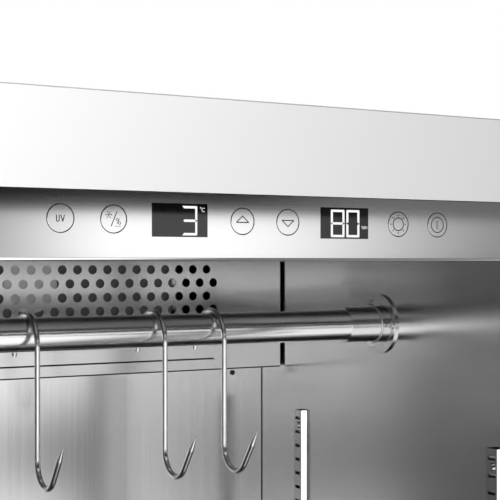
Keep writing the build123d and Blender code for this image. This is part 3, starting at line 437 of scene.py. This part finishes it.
# The rear wall panel is stainless brushed upright, standing on six hexagonal steel spacers and
# held by six black button screws with hexagon sockets.
dress(metal("wall_sheet", steel(0.73, (400, 400, 2), 0.14, 0.20, 0.02)), "rear_wall_panel")
dress(metal("spacer_steel", steel(0.62, (60, 900, 60), 0.30)), "panel_standoffs")
dress(finish("black_screw", moulded((0.012, 0.012, 0.013), 0.38)), "rear_panel_screws")

# The fan cover is a box folded from satin stainless sheet, with four staggered rows of round
# holes before the fan and one long slot above its lower edge. Along that edge a thin black strip
# runs to the wall panel: it is painted shade, the dark line under the cover's edge.
dress(metal("cover_sheet", steel(0.69, (2600, 2600, 2600), 0.17, 0.05, 0.02)), "fan_cover")
cover_low, cover_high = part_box("fan_cover")
shade_line_profile = np.array([(-0.2, -0.9), (1.2, -0.9), (1.2, -0.1), (-0.2, 0.2)]) / 1000
shade_line_profile = shade_line_profile + (cover_low.y, cover_low.z)
shade_line_ends = (cover_low.x + 0.001, cover_high.x - 0.001)
# This black strip is painted shade: the dark line under the cover's lower edge.
build(
    "cover_shade_line",
    [np.stack([np.insert(shade_line_profile, 0, x, axis=1) for x in shade_line_ends])],
    finish("shade_line_black", moulded((0.03, 0.03, 0.03), 0.6)),
    "cabinet",
)

# Behind the fan cover's holes lies a dark woven steel guard that keeps fingers off the fan, with
# a bright round plate at its middle over the fan's hub.


def weave(place):
    """Wires crossing 2 mm apart, in relief."""
    wires = place.bands("X", 160.0) * 0.5 + place.bands("Z", 160.0) * 0.5
    return {
        "Base Color": wires.between((0.07, 0.07, 0.071), (0.19, 0.19, 0.19)),
        "Roughness": 0.42 + 0.1 * wires,
        "Normal": wires.raised(0.0001),
    }


guard_half, guard_thick = 0.1335, 0.0005
guard_front = cover_low.y + 0.0019
guard_low, guard_high = 1.1185, 1.1890
guard_outline = oblong((-guard_half, guard_front), (guard_half, guard_front + guard_thick))
build(
    "fan_guard",
    [upright_bar(guard_outline, guard_low, guard_high)],
    finish("guard_weave", weave, {"Metallic": 0.6}),
    "cabinet",
)


def disc(radius, centre, near, far, steps=72):
    """A flat round plate facing forwards: x = cx + r cos t, z = cz + r sin t, from y near to far.

    Its front edge is broken: the front ring is 0.3 mm smaller, the next one 0.2 mm behind it."""
    turn = np.linspace(0, 2 * pi, steps, endpoint=False)
    circle = np.column_stack([np.cos(turn), np.sin(turn)])
    rings = ((radius - 0.0003, near), (radius, near + 0.0002), (radius, far))
    return np.stack([np.insert(np.array(centre) + r * circle, 1, y, axis=1) for r, y in rings])


build(
    "fan_guard_plate",
    [disc(0.0238, (0.0, 1.1585), guard_front - 0.0007, guard_front - 0.0001)],
    metal("hub_plate", steel(0.50, (500, 500, 500), 0.38, 0.10)),
    "cabinet",
)

# The control panel is a channel of stainless, brushed lengthways and polished, that hangs from
# the ceiling. Behind it stands the green board with its tinned tracks.
brushed = {"Anisotropic": 1.0, "Anisotropic Rotation": 0.25}
panel_sheet = metal("panel_sheet", steel(0.94, (3, 1500, 1500), 0.033, 0.06, 0.012), brushed)
dress(panel_sheet, "control_panel")


def board_tracks(place):
    """Green lacquer over a pattern of tracks 2 mm apart."""
    track = place.node(
        "TexBrick", {"offset": 0.5}, {"Vector": place, "Scale": 260.0, "Mortar Size": 0.06}, "Fac"
    )
    dust = place.grain((200, 200, 200), 2.0)
    return {
        "Base Color": track.between((0.010, 0.11, 0.045), (0.06, 0.25, 0.12)),
        "Roughness": 0.34 + 0.12 * dust,
    }


dress(finish("board", board_tracks), "control_board")

# The six push keys are turned from the panel's own steel and sit flush in it. Each carries its
# function mark, printed in dark grey, and a thin black ring over the gap round it: partly print,
# partly painted shade of the gap.
key_steel = metal("key_steel", steel(0.95, (3, 1500, 1500), 0.033, 0.06, 0.012), brushed)
dress(key_steel, "uv_key", "mode_key", "up_key", "down_key", "light_key", "power_key")


def stroke(path, width, face):
    """A printed line: a flat rectangle, width by 0.04 mm, carried along a path in the x-z plane.

    Path and width are in mm. The line's side is the path's direction turned a quarter:
    side = (-dz, dx)."""
    path = np.asarray(path, float) / 1000
    ahead = np.gradient(path, axis=0)
    ahead /= np.linalg.norm(ahead, axis=1, keepdims=True)
    side = np.stack([-ahead[:, 1], ahead[:, 0]], 1) * width / 2000
    near, far = face - 0.00002, face + 0.00002
    left, right = path + side, path - side
    corners = [(left, near), (right, near), (right, far), (left, far)]
    return np.stack([np.insert(edge, 1, y, axis=1) for edge, y in corners], 1)


def towards(degrees):
    """The step of length 1 towards an angle: (cos t, sin t)."""
    turn = np.radians(degrees)
    return np.array([np.cos(turn), np.sin(turn)])


def arc(centre, radius, start, end, steps=40):
    """Points of an arc: centre + radius (cos t, sin t), with t from start to end in degrees."""
    return np.array(centre) + radius * towards(np.linspace(start, end, steps)).T


def straight(*corners):
    """Straight runs through the corners, with 3 points set close before and after each one."""
    corners = np.asarray(corners, float)
    share = np.array([0, 0.02, 0.5, 0.98])
    runs = corners[:-1, None] + share[None, :, None] * (corners[1:] - corners[:-1])[:, None]
    return np.concatenate([runs.reshape(-1, 2), corners[-1:]])


def printed(place):
    """Dark grey ink, a little worn. The same colour paints the shade of the gap round each key."""
    wear = place.grain((900, 900, 900), 2.0)
    return {
        "Base Color": wear.between((0.012, 0.012, 0.013), (0.030, 0.030, 0.031)),
        "Roughness": 0.45 + 0.2 * wear,
    }


key_ink_and_gap_shade = finish("key_ink_and_gap_shade", printed)
key_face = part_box("uv_key")[0].y

# Every mark is a list of lines. A line is its width and its path from the key's centre, in mm.
frost_centre = np.array([-2.83, 2.3])
frost_arms = [1.6 * towards(turn) for turn in (0, 60, 120)]
frost = [(0.24, straight(frost_centre - arm, frost_centre + arm)) for arm in frost_arms]
frost += [
    (0.34, arc(frost_centre + side * arm, 0.17, 0, 360, 10))
    for arm in frost_arms
    for side in (-1, 1)
]
lamp_rays = [
    (0.60, straight(4.75 * towards(turn), 5.75 * towards(turn))) for turn in range(0, 360, 45)
]
power_bar = straight((0.45, -2.4), (0.45, 2.4), (-0.45, 2.4), (-0.45, -2.4), (0.45, -2.4))
letter_u = np.concatenate([
    straight((-2.18, 1.7), (-2.18, -0.95)),
    arc((-1.43, -0.95), 0.75, 180, 360, 14)[1:],
    straight((-0.68, -0.95), (-0.68, 1.7))[1:],
])
key_marks = {
    "uv_key": [(0.52, letter_u), (0.52, straight((0.22, 1.7), (1.25, -1.7), (2.28, 1.7)))],
    "mode_key": [
        *frost,
        (0.50, straight((-1.53, -3.9), (1.84, 3.95))),
        (0.32, arc((1.95, -0.30), 0.68, 0, 360, 16)),
        (0.32, arc((3.35, -2.10), 0.68, 0, 360, 16)),
        (0.32, straight((1.75, -2.70), (3.50, 0.35))),
        (0.26, straight((0.6, -3.85), (4.2, -3.85))),
    ],
    "up_key": [(0.58, straight((-4.0, -0.6), (0, 2.95), (4.0, -0.6), (-4.0, -0.6)))],
    "down_key": [(0.58, straight((-4.0, 1.0), (4.0, 1.0), (0, -2.55), (-4.0, 1.0)))],
    "light_key": [(0.60, arc((0, 0), 3.85, 0, 360)), *lamp_rays],
    "power_key": [(0.56, arc((0, 0), 4.7, 0, 360)), (0.30, power_bar)],
}
# The ring over each key's gap is partly print and partly painted shade of the gap.
gap_shade_ring = (0.46, arc((0, 0), 7.53, 0, 360, 64))
for name, mark in key_marks.items():
    low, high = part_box(name)
    centre = (low + high) / 2
    at = np.array([centre.x, centre.z]) * 1000
    build(
        name + "_mark",
        [stroke(path + at, width, key_face) for width, path in (*mark, gap_shade_ring)],
        key_ink_and_gap_shade,
        name,
    )

# Both displays are dark glass windows clamped behind the panel. Their digits are white lit
# segments, with the unit drawn small beside them.


def dark_glass(place):
    """Black glass under a film of dust."""
    dust = place.grain((300, 300, 300), 2.0)
    return {
        "Base Color": dust.between((0.002, 0.002, 0.0022), (0.004, 0.004, 0.0044)),
        "Roughness": 0.02 + 0.02 * dust,
    }


display_glass = finish("display_glass", dark_glass, {"IOR": 1.62})
dress(display_glass, "display_temperature", "display_humidity")


def lit(place):
    """A segment that glows white."""
    glow = place.grain((600, 600, 600), 1.0)
    return {
        "Base Color": (0.1, 0.1, 0.1, 1),
        "Roughness": 0.4 + 0.1 * glow,
        "Emission Color": glow.between((0.92, 0.94, 0.95), (1.0, 1.0, 1.0)),
    }


segment_light = finish("segment_light", lit, {"Emission Strength": 0.95})
lit_bars = {"3": "abcdg", "8": "abcdefg", "0": "abcdef"}


def digit(sign, left, right, low, high, wide, tall, face):
    """A seven segment digit: a top, b and c right, d bottom, e and f left, g in the middle.

    Segments are mitred: their outer edge is long, their ends are cut back by their thickness,
    `wide` for the upright ones and `tall` for the level ones. All measures but face are in mm."""
    gap, half, middle = 0.12, tall / 2, (low + high) / 2
    above, below = middle + half + gap, middle - half - gap
    in_left, in_right, in_low, in_high = left + wide, right - wide, low + tall, high - tall
    bar_left, bar_right = left + 1.15 * wide, right - 1.15 * wide
    outlines = {
        "a": [(left + gap, high), (right - gap, high), (in_right, in_high), (in_left, in_high)],
        "b": [(right, high - gap), (right, middle + gap), (in_right, above), (in_right, in_high)],
        "c": [(right, middle - gap), (right, low + gap), (in_right, in_low), (in_right, below)],
        "d": [(left + gap, low), (in_left, in_low), (in_right, in_low), (right - gap, low)],
        "e": [(left, middle - gap), (in_left, below), (in_left, in_low), (left, low + gap)],
        "f": [(left, high - gap), (in_left, in_high), (in_left, above), (left, middle + gap)],
        "g": [
            (left + 0.62 * wide, middle), (bar_left, middle + half), (bar_right, middle + half),
            (right - 0.72 * wide, middle), (bar_right, middle - half), (bar_left, middle - half),
        ],
    }
    faces = (face - 0.00005, face + 0.00005)
    bars = [np.array(outlines[letter], float) / 1000 for letter in lit_bars[sign]]
    return [np.stack([np.insert(bar, 1, y, axis=1) for y in faces]) for bar in bars]


# A line of a unit is its width in mm, its place as a share of the window, and its path in mm.
degree = [
    (0.24, (0.876, 0.886), arc((0, 0), 0.30, 0, 360, 14)),
    (0.32, (0.930, 0.825), arc((0, 0), 1, 50, 310, 20) * (1.10, 0.98)),
]
letter_r = straight(
    (-0.40, -0.85), (-0.40, 0.80), (0.20, 0.80), (0.38, 0.45), (0.20, 0.06), (-0.34, 0.0),
    (0.40, -0.85),
)
wetness = [
    (0.20, (0.868, 0.400), arc((0, 0), 0.24, 0, 360, 12)),
    (0.20, (0.896, 0.335), arc((0, 0), 0.24, 0, 360, 12)),
    (0.20, (0.882, 0.367), straight((-0.42, -0.78), (0.42, 0.78))),
    (0.22, (0.925, 0.367), letter_r),
    (0.22, (0.965, 0.367), straight((-0.42, -0.85), (-0.42, 0.85))),
    (0.22, (0.965, 0.367), straight((-0.42, 0.0), (0.42, 0.0))),
    (0.22, (0.965, 0.367), straight((0.42, -0.85), (0.42, 0.85))),
]
hidden_rim, level_bar = 0.0016, 1.35
for name, upright_side, digits, unit in (
    ("display_temperature", 1.25, [("3", 0.538, 0.814)], degree),
    ("display_humidity", 1.45, [("8", 0.214, 0.499), ("0", 0.539, 0.815)], wetness),
):
    low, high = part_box(name)
    start = np.array([low.x + hidden_rim, low.z + hidden_rim]) * 1000
    window = np.array([high.x - low.x, high.z - low.z]) * 1000 - 2000 * hidden_rim
    shells = []
    for sign, left_share, right_share in digits:
        left, bottom = start + (left_share, 0.045) * window
        right, top = start + (right_share, 0.935) * window
        shells += digit(sign, left, right, bottom, top, upright_side, level_bar, low.y)
    for line, share, path in unit:
        shells.append(stroke(path + start + np.array(share) * window, line, low.y))
    build(name + "_digits", shells, segment_light, "cabinet")

# The rail is polished stainless tube, pushed into two turned collars whose discs are screwed to
# the side walls. A thin sleeve lengthens each collar, with a snap ring at its root, and fine
# turning rings show on both.
dress(metal("rail_steel", steel(0.92, (6, 900, 900), 0.18, 0.05, 0.02)), "hanging_rail")
dress(metal("collar_steel", steel(0.76, (900, 60, 60), 0.19, 0.08, 0.04)), "rail_flanges")
dress(metal("wall_screw_steel", steel(0.78, (300, 300, 300), 0.12)), "wall_screws")


def turned(profile, centre, steps=96):
    """A ring turned about a line along x: each profile point (x, r) runs round the centre (y, z)
    as y + r cos t, z + r sin t. The profile is closed, so its last point joins its first."""
    profile = np.asarray(profile, float) / 1000
    turn = np.linspace(0, 2 * pi, steps, endpoint=False)
    x, r = profile[:, :1], profile[:, 1:]
    rings = (x + 0 * turn, centre[0] + r * np.cos(turn), centre[1] + r * np.sin(turn))
    return np.stack(rings, -1).transpose(1, 0, 2)


rail_low, rail_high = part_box("hanging_rail")
rail_line = ((rail_low.y + rail_high.y) / 2, (rail_low.z + rail_high.z) / 2)


def on_both_sides(name, profile, material):
    """A turned ring at the right end of the rail and its mirror image at the left end."""
    rings = [turned(profile * (side, 1), rail_line) for side in (-1, 1)]
    build(name, rings, material, "cabinet", smooth=True, closed=True)


def edged(profile, edge):
    """The profile with each corner held by a point `edge` before it and another after it."""
    back, on = np.roll(profile, 1, 0) - profile, np.roll(profile, -1, 0) - profile
    back, on = (run / np.linalg.norm(run, axis=1, keepdims=True) for run in (back, on))
    return np.stack([profile + edge * back, profile, profile + edge * on], 1).reshape(-1, 2)


sleeve_profile = np.array(
    [(212.7, 12.53), (243.9, 12.53), (243.9, 14.62), (212.95, 14.62), (212.7, 14.35)]
)
sleeve_steel = metal("sleeve_steel", steel(0.84, (900, 60, 60), 0.20, 0.08, 0.04))
on_both_sides("rail_sleeves", edged(sleeve_profile, 0.06), sleeve_steel)

snap_ring_profile = arc((242.6, 14.95), 0.70, 0, 330, 12)
snap_ring_steel = metal("snap_ring_steel", steel(0.98, (300, 300, 300), 0.42, 0.03, 0.03))
on_both_sides("rail_snap_rings", snap_ring_profile, snap_ring_steel)

# The hooks are bent from 4 mm stainless wire, drawn bright, their needles ground to a point.
# Grinding left fine rings across the needle.


def hook_wire(place):
    """Streaks of drawing along the shank, and rings of grinding across the needle."""
    drawn = place.grain((1400, 1400, 30), 3.0)
    ring = place.grain((40, 900, 900), 2.0)
    return {
        "Base Color": drawn.between((0.90, 0.90, 0.91), (0.96, 0.96, 0.97)),
        "Roughness": 0.19 + 0.05 * drawn + 0.03 * ring,
    }


dress(metal("hook_steel", hook_wire), "hook_1", "hook_2", "hook_3")

# Shelf strips, clips and shelves are stainless: rolled channels with punched slots, bent clips,
# and slotted sheets with their rims turned down. On the front edge of each strip sits a smooth
# bevelled lip whose steel is painted much paler than the strip's, as a painted highlight.
dress(metal("strip_steel", steel(0.74, (300, 300, 5), 0.16, 0.10)), "shelf_strips", "shelf_clips")
shelf_steel = metal("shelf_steel", steel(0.68, (260, 4, 260), 0.24, 0.18, 0.10))
dress(shelf_steel, "shelf_upper", "shelf_lower")
lip_low, lip_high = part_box("shelf_strips")
strip_wide = 0.012
lip_outline = np.array([(245.1, -0.1), (249.8, -1.95), (249.8, 0.0), (245.1, 0.0)]) / 1000
# The lips' pale steel is a painted highlight on the strips' front faces.
build(
    "strip_lips",
    [
        upright_bar(lip_outline * (side, 1) + (0, front_edge), lip_low.z, lip_high.z)
        for side in (-1, 1)
        for front_edge in (lip_low.y, lip_high.y - strip_wide)
    ],
    metal("lip_painted_highlight", steel(0.97, (500, 500, 5), 0.09, 0.04, 0.03)),
    "cabinet",
)

# The salt tray is deep drawn from thin stainless with a flat rim. Drawing left it slightly
# cloudy, and the salt has dulled its floor.
dress(metal("tray_steel", steel(0.64, (24, 24, 24), 0.33, 0.22, 0.16)), "salt_tray")

# Under the ceiling hang the light bar, an anodised channel with an opal lens, and the air
# cleaning lamp, a clear tube with metal caps in white sockets.
dress(metal("bar_aluminium", steel(0.66, (4, 500, 500), 0.36)), "led_bar")


def opal(place):
    """Milky plastic, faintly streaked by the die it was drawn through."""
    cloud = place.grain((30, 400, 400), 2.0)
    return {
        "Base Color": cloud.between((0.80, 0.81, 0.81), (0.90, 0.90, 0.90)),
        "Roughness": 0.36 + 0.1 * cloud,
    }


dress(finish("opal_lens", opal, {"Subsurface Weight": 0.2}), "led_lens")
cap_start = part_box("uv_lamp")[1].x - 0.014


def lamp_tube(place):
    """Hazy glass in the middle and bare metal from where the caps start."""
    cap = abs(place.along("X")).rises(cap_start - 0.0002, cap_start + 0.0002)
    haze = place.grain((60, 200, 200), 3.0)
    return {
        "Base Color": (cap * 0.8 + haze * 0.2).between((0.86, 0.88, 0.90), (0.62, 0.62, 0.62)),
        "Metallic": cap,
        "Roughness": 0.06 + 0.22 * cap + 0.1 * haze,
    }


dress(finish("lamp_tube", lamp_tube, {"Coat Weight": 0.5}), "uv_lamp")
dress(finish("white_plastic", moulded((0.78, 0.78, 0.76), 0.42)), "lamp_holders", "air_probe")

# The machine room has a zinc plated base tray on four levelling feet: a black rubber pad, a
# plated nut and a stud whose thread shows as fine rings.
dress(zinc_sheet, "base_tray")
pad_top = 0.007


def foot_parts(place):
    """Rubber up to the pad's top and plated steel above it, threaded over the nut."""
    height = place.along("Z")
    plated = height.rises(pad_top, pad_top + 0.0003)
    thread = place.bands("Z", 105.0)
    dust = place.grain((150, 150, 150), 3.0)
    bright = plated * (0.8 + 0.2 * dust)
    return {
        "Base Color": bright.between((0.018, 0.018, 0.019), (0.66, 0.66, 0.64)),
        "Metallic": plated,
        "Roughness": 0.62 - 0.34 * plated + 0.1 * dust,
        "Normal": (thread * height.rises(0.0199, 0.0203)).raised(0.0006),
    }


dress(
    finish("foot", foot_parts),
    "foot_front_left", "foot_front_right", "foot_rear_left", "foot_rear_right",
)

# The compressor is a welded dome in black enamel on a pressed plate, with a moulded terminal
# box and rubber grommets. Condenser, fan and pan stand beside it.


def enamel(place):
    """Thick black enamel with slow runs and orange peel."""
    run = place.grain((40, 40, 12), 3.0)
    peel = place.grain((350, 350, 350), 2.0)
    return {
        "Base Color": run.between((0.010, 0.010, 0.011), (0.022, 0.022, 0.024)),
        "Roughness": 0.20 + 0.12 * run + 0.08 * peel,
        "Normal": peel.raised(0.00012),
    }


dress(finish("enamel", enamel, {"Coat Weight": 0.4}), "compressor")


def condenser_paint(place):
    """Black paint over fins 3 mm apart, drawn as bands: the darker ones between the fins are
    painted shade, and dust greys it all.
    """
    rib_and_shade = place.bands("X", 95.0)
    dust = place.grain((60, 60, 60), 3.0)
    return {
        # The darker bands between the fins are painted shade.
        "Base Color": (0.6 * rib_and_shade + 0.4 * dust).between((0.008, 0.008, 0.009), (0.05, 0.05, 0.052)),
        "Roughness": 0.45 + 0.2 * dust,
        "Normal": rib_and_shade.raised(0.0008),
    }


dress(finish("condenser_paint", condenser_paint), "condenser")
dress(finish("pan_plastic", moulded((0.55, 0.56, 0.57), 0.4)), "drain_pan")

# Grilles close the machine room: the kick grille is brushed stainless with three columns of
# slots, the rear one bare zinc coated sheet around the black power inlet.
dress(metal("grille_steel", steel(0.70, (4, 600, 600), 0.26, 0.14)), "kick_grille")
dress(zinc_sheet, "rear_grille")
inlet_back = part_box("power_inlet")[0].y


def inlet_parts(place):
    """Black plastic, a shade darker in front of the pins' root."""
    near = place.along("Y").rises(inlet_back + 0.0075, inlet_back + 0.0080)
    skin = place.grain((800, 800, 800), 2.0)
    return {
        "Base Color": (skin * near).between((0.020, 0.020, 0.021), (0.030, 0.030, 0.032)),
        "Roughness": 0.42 + 0.12 * skin,
        "Normal": skin.raised(0.00005),
    }


dress(finish("inlet_plastic", inlet_parts), "power_inlet")

# The door is a deep ring of brushed stainless round two panes with a spacer between them. A
# grey trim clamps the panes from the inside and carries the gasket.
dress(metal("door_steel", steel(0.72, (420, 420, 3), 0.24, 0.16, 0.10)), "door_frame")


def clear_pane(place):
    """Clear glass with a faint film of wiping."""
    film = place.grain((8, 8, 8), 3.0)
    return {
        "Base Color": film.between((0.95, 0.97, 0.96), (0.98, 0.99, 0.985)),
        "Roughness": 0.0 + 0.02 * film,
    }


pane_glass = finish("pane_glass", clear_pane, {"Transmission Weight": 1.0, "IOR": 1.5})
dress(pane_glass, "door_glass_outer", "door_glass_inner")
dress(metal("spacer_metal", steel(0.6, (200, 200, 200), 0.4)), "glass_spacer")
dress(finish("trim_plastic", moulded((0.52, 0.52, 0.52), 0.4)), "door_trim")
dress(finish("gasket_rubber", moulded((0.30, 0.30, 0.30), 0.6)), "door_gasket")

# The handle is a round stainless bar on two posts. The hinges are plated brackets with turned
# pins that run in flanged nylon bushes.
dress(metal("handle_steel", steel(0.74, (500, 500, 6), 0.20, 0.12)), "door_handle")
dress(metal("hinge_steel", steel(0.68, (300, 300, 300), 0.26)), "door_hinges")
dress(finish("bush_nylon", moulded((0.80, 0.79, 0.75), 0.46)), "hinge_bushes")

# The studio is a white room with a pale floor that keeps the cabinet's shadow. Looked at
# straight or through glass, both are plain. Polished steel mirrors the studio's lights as well:
# from its faces the middle of the floor is bright, and its right and far parts are dim.


def ray_kinds(air):
    """1 on rays that a mirroring face sends out, and 1 on every ray that looks at the studio."""
    straight_on, mirrored, through = (
        air.node("LightPath", out=kind)
        for kind in ("Is Camera Ray", "Is Glossy Ray", "Is Transmission Ray")
    )
    return mirrored * (1.0 - through), (straight_on + mirrored + through).least(1.0)


floor_half = 8.0
floor_corners = oblong((-floor_half, -floor_half), (floor_half, floor_half))
floor_mesh = bpy.data.meshes.new("floor")
floor_mesh.from_pydata(np.insert(floor_corners, 2, 0.0, axis=1).tolist(), [], [[0, 1, 2, 3]])
floor = bpy.data.objects.new("floor", floor_mesh)
bpy.context.scene.collection.objects.link(floor)
floor_paint = bpy.data.materials.new("floor_paint")
floor_paint.use_nodes = True
floor_tree = floor_paint.node_tree
floor_tree.nodes.remove(floor_tree.nodes["Principled BSDF"])
studio = Feed(floor_tree)
in_mirror, on_studio = ray_kinds(studio)
spot = studio.node("TexCoord", out="Object")
away = -spot.along("Y")
aside = spot.along("X") / away
sides = aside.rises(0.26, 0.36) + (-aside).rises(0.38, 0.46) * (1.0 - (-aside).rises(0.85, 1.0))
far_off = (away + 1.5 * abs(aside).rises(0.38, 0.46)).rises(4.6, 5.4)
dim = aside.rises(0.42, 0.56).most(sides * far_off)
patches = spot.grain((0.8, 0.8, 0.8), 2.0).between((0.78, 0.78, 0.78), (0.82, 0.82, 0.82))
dull_grey, plain_share, bright_share = (0.12, 0.12, 0.12), 0.60, 0.95 - 0.85 * dim
pale = studio.node("BsdfDiffuse", sockets={"Color": (dim * in_mirror).mixed(patches, dull_grey)})
white = studio.node(
    "Emission", sockets={"Color": (1, 1, 1, 1), "Strength": 1.0 + 0.3 * in_mirror}
)
share = on_studio * (plain_share + in_mirror * (bright_share - plain_share))
surface = studio.node("MixShader", sockets={0: share, 1: pale, 2: white})
studio.plug(floor_tree.nodes["Material Output"].inputs["Surface"], surface)
floor.data.materials.append(floor_paint)

# The room is plain white, and lights the cabinet's matt faces evenly and softly. Its front, as
# polished steel mirrors it, has a dark wall above the cabinet's mouth, a bright bank of lights
# low down, a dark table edge over that, and greyer screens to the right.
world = bpy.data.worlds.new("studio")
world.use_nodes = True
bpy.context.scene.world = world
air = Feed(world.node_tree)
in_mirror, on_studio = ray_kinds(air)
look = air.node("TexCoord", out="Generated")
right, before, rise = look.along("X"), -look.along("Y"), look.along("Z")
left, front = -right, before.rises(0.2, 0.5)
dark_wall = (rise / before).rises(0.0428, 0.0442) * front
wall_tone = 0.135 * right.rises(0.47, 0.60)
light_bank = 0.90 - 0.90 * rise.rises(-0.070, -0.053)
table_edge = rise.rises(-0.064, -0.052) * (1.0 - rise.rises(-0.010, -0.003))
table_edge = 0.95 * table_edge * abs(right).rises(0.30, 0.37)
near_screen = (1.0 - right.rises(0.28, 0.41)) * right.rises(0.08, 0.28)
near_screen = 0.75 * near_screen * (0.45 + 0.55 * rise.rises(-0.04, 0.0))
side_screen = 0.90 * right.rises(0.46, 0.70) * (0.35 + 0.65 * rise.rises(-0.06, -0.01))
bank_ends = right.rises(0.29, 0.40) * (1.0 - 0.7 * right.rises(0.52, 0.58))
left_end = left.rises(0.37, 0.42) * (1.0 - 0.5 * left.rises(0.49, 0.54))
bank_ends = bank_ends + left_end * (1.0 - left.rises(0.64, 0.72))
under_bank = (0.70 - 0.70 * rise.rises(-0.100, -0.078)) * bank_ends
open_tone = 1.16 + front * (light_bank - table_edge - near_screen - side_screen)
open_tone = open_tone * (1.0 - under_bank)
mirror_tone = open_tone + dark_wall * (wall_tone - open_tone)
room_light = 0.42
plain_tone = 1.0 - in_mirror
strength = on_studio * (in_mirror * mirror_tone + plain_tone) + (1.0 - on_studio) * room_light
backdrop = world.node_tree.nodes["Background"]
backdrop.inputs["Color"].default_value = (1, 1, 1, 1)
air.plug(backdrop.inputs["Strength"], strength)


# Three soft boxes light the cabinet at a plain level: a small one off the mouth's upper left
# corner, a large one to the front right and one behind. Neither the eye nor steel sees them.


def lamp(name, place, aim, width, height, watts):
    """A soft box: a rectangle of light that looks from its place to the point it aims at."""
    box = bpy.data.lights.new(name, "AREA")
    box.shape = "RECTANGLE"
    box.size, box.size_y = width, height
    box.energy = watts
    stand = bpy.data.objects.new(name, box)
    stand.location = place
    across, along, up = np.array(aim) - np.array(place)
    tilt, turn = np.arctan2(np.hypot(across, along), -up), np.arctan2(along, across) - pi / 2
    stand.rotation_euler = (tilt, 0, turn)
    stand.visible_camera = stand.visible_glossy = False
    bpy.context.scene.collection.objects.link(stand)


lamp("key_light", (-0.55, -0.75, 1.50), (0.0, -0.30, 1.2), 0.4, 0.4, 5.2)
lamp("fill_light", (1.9, -2.2, 1.5), (0, -0.2, 0.8), 1.4, 1.8, 6)
lamp("back_light", (0.6, 2.6, 2.4), (0, 0, 0.7), 1.8, 1.4, 26)
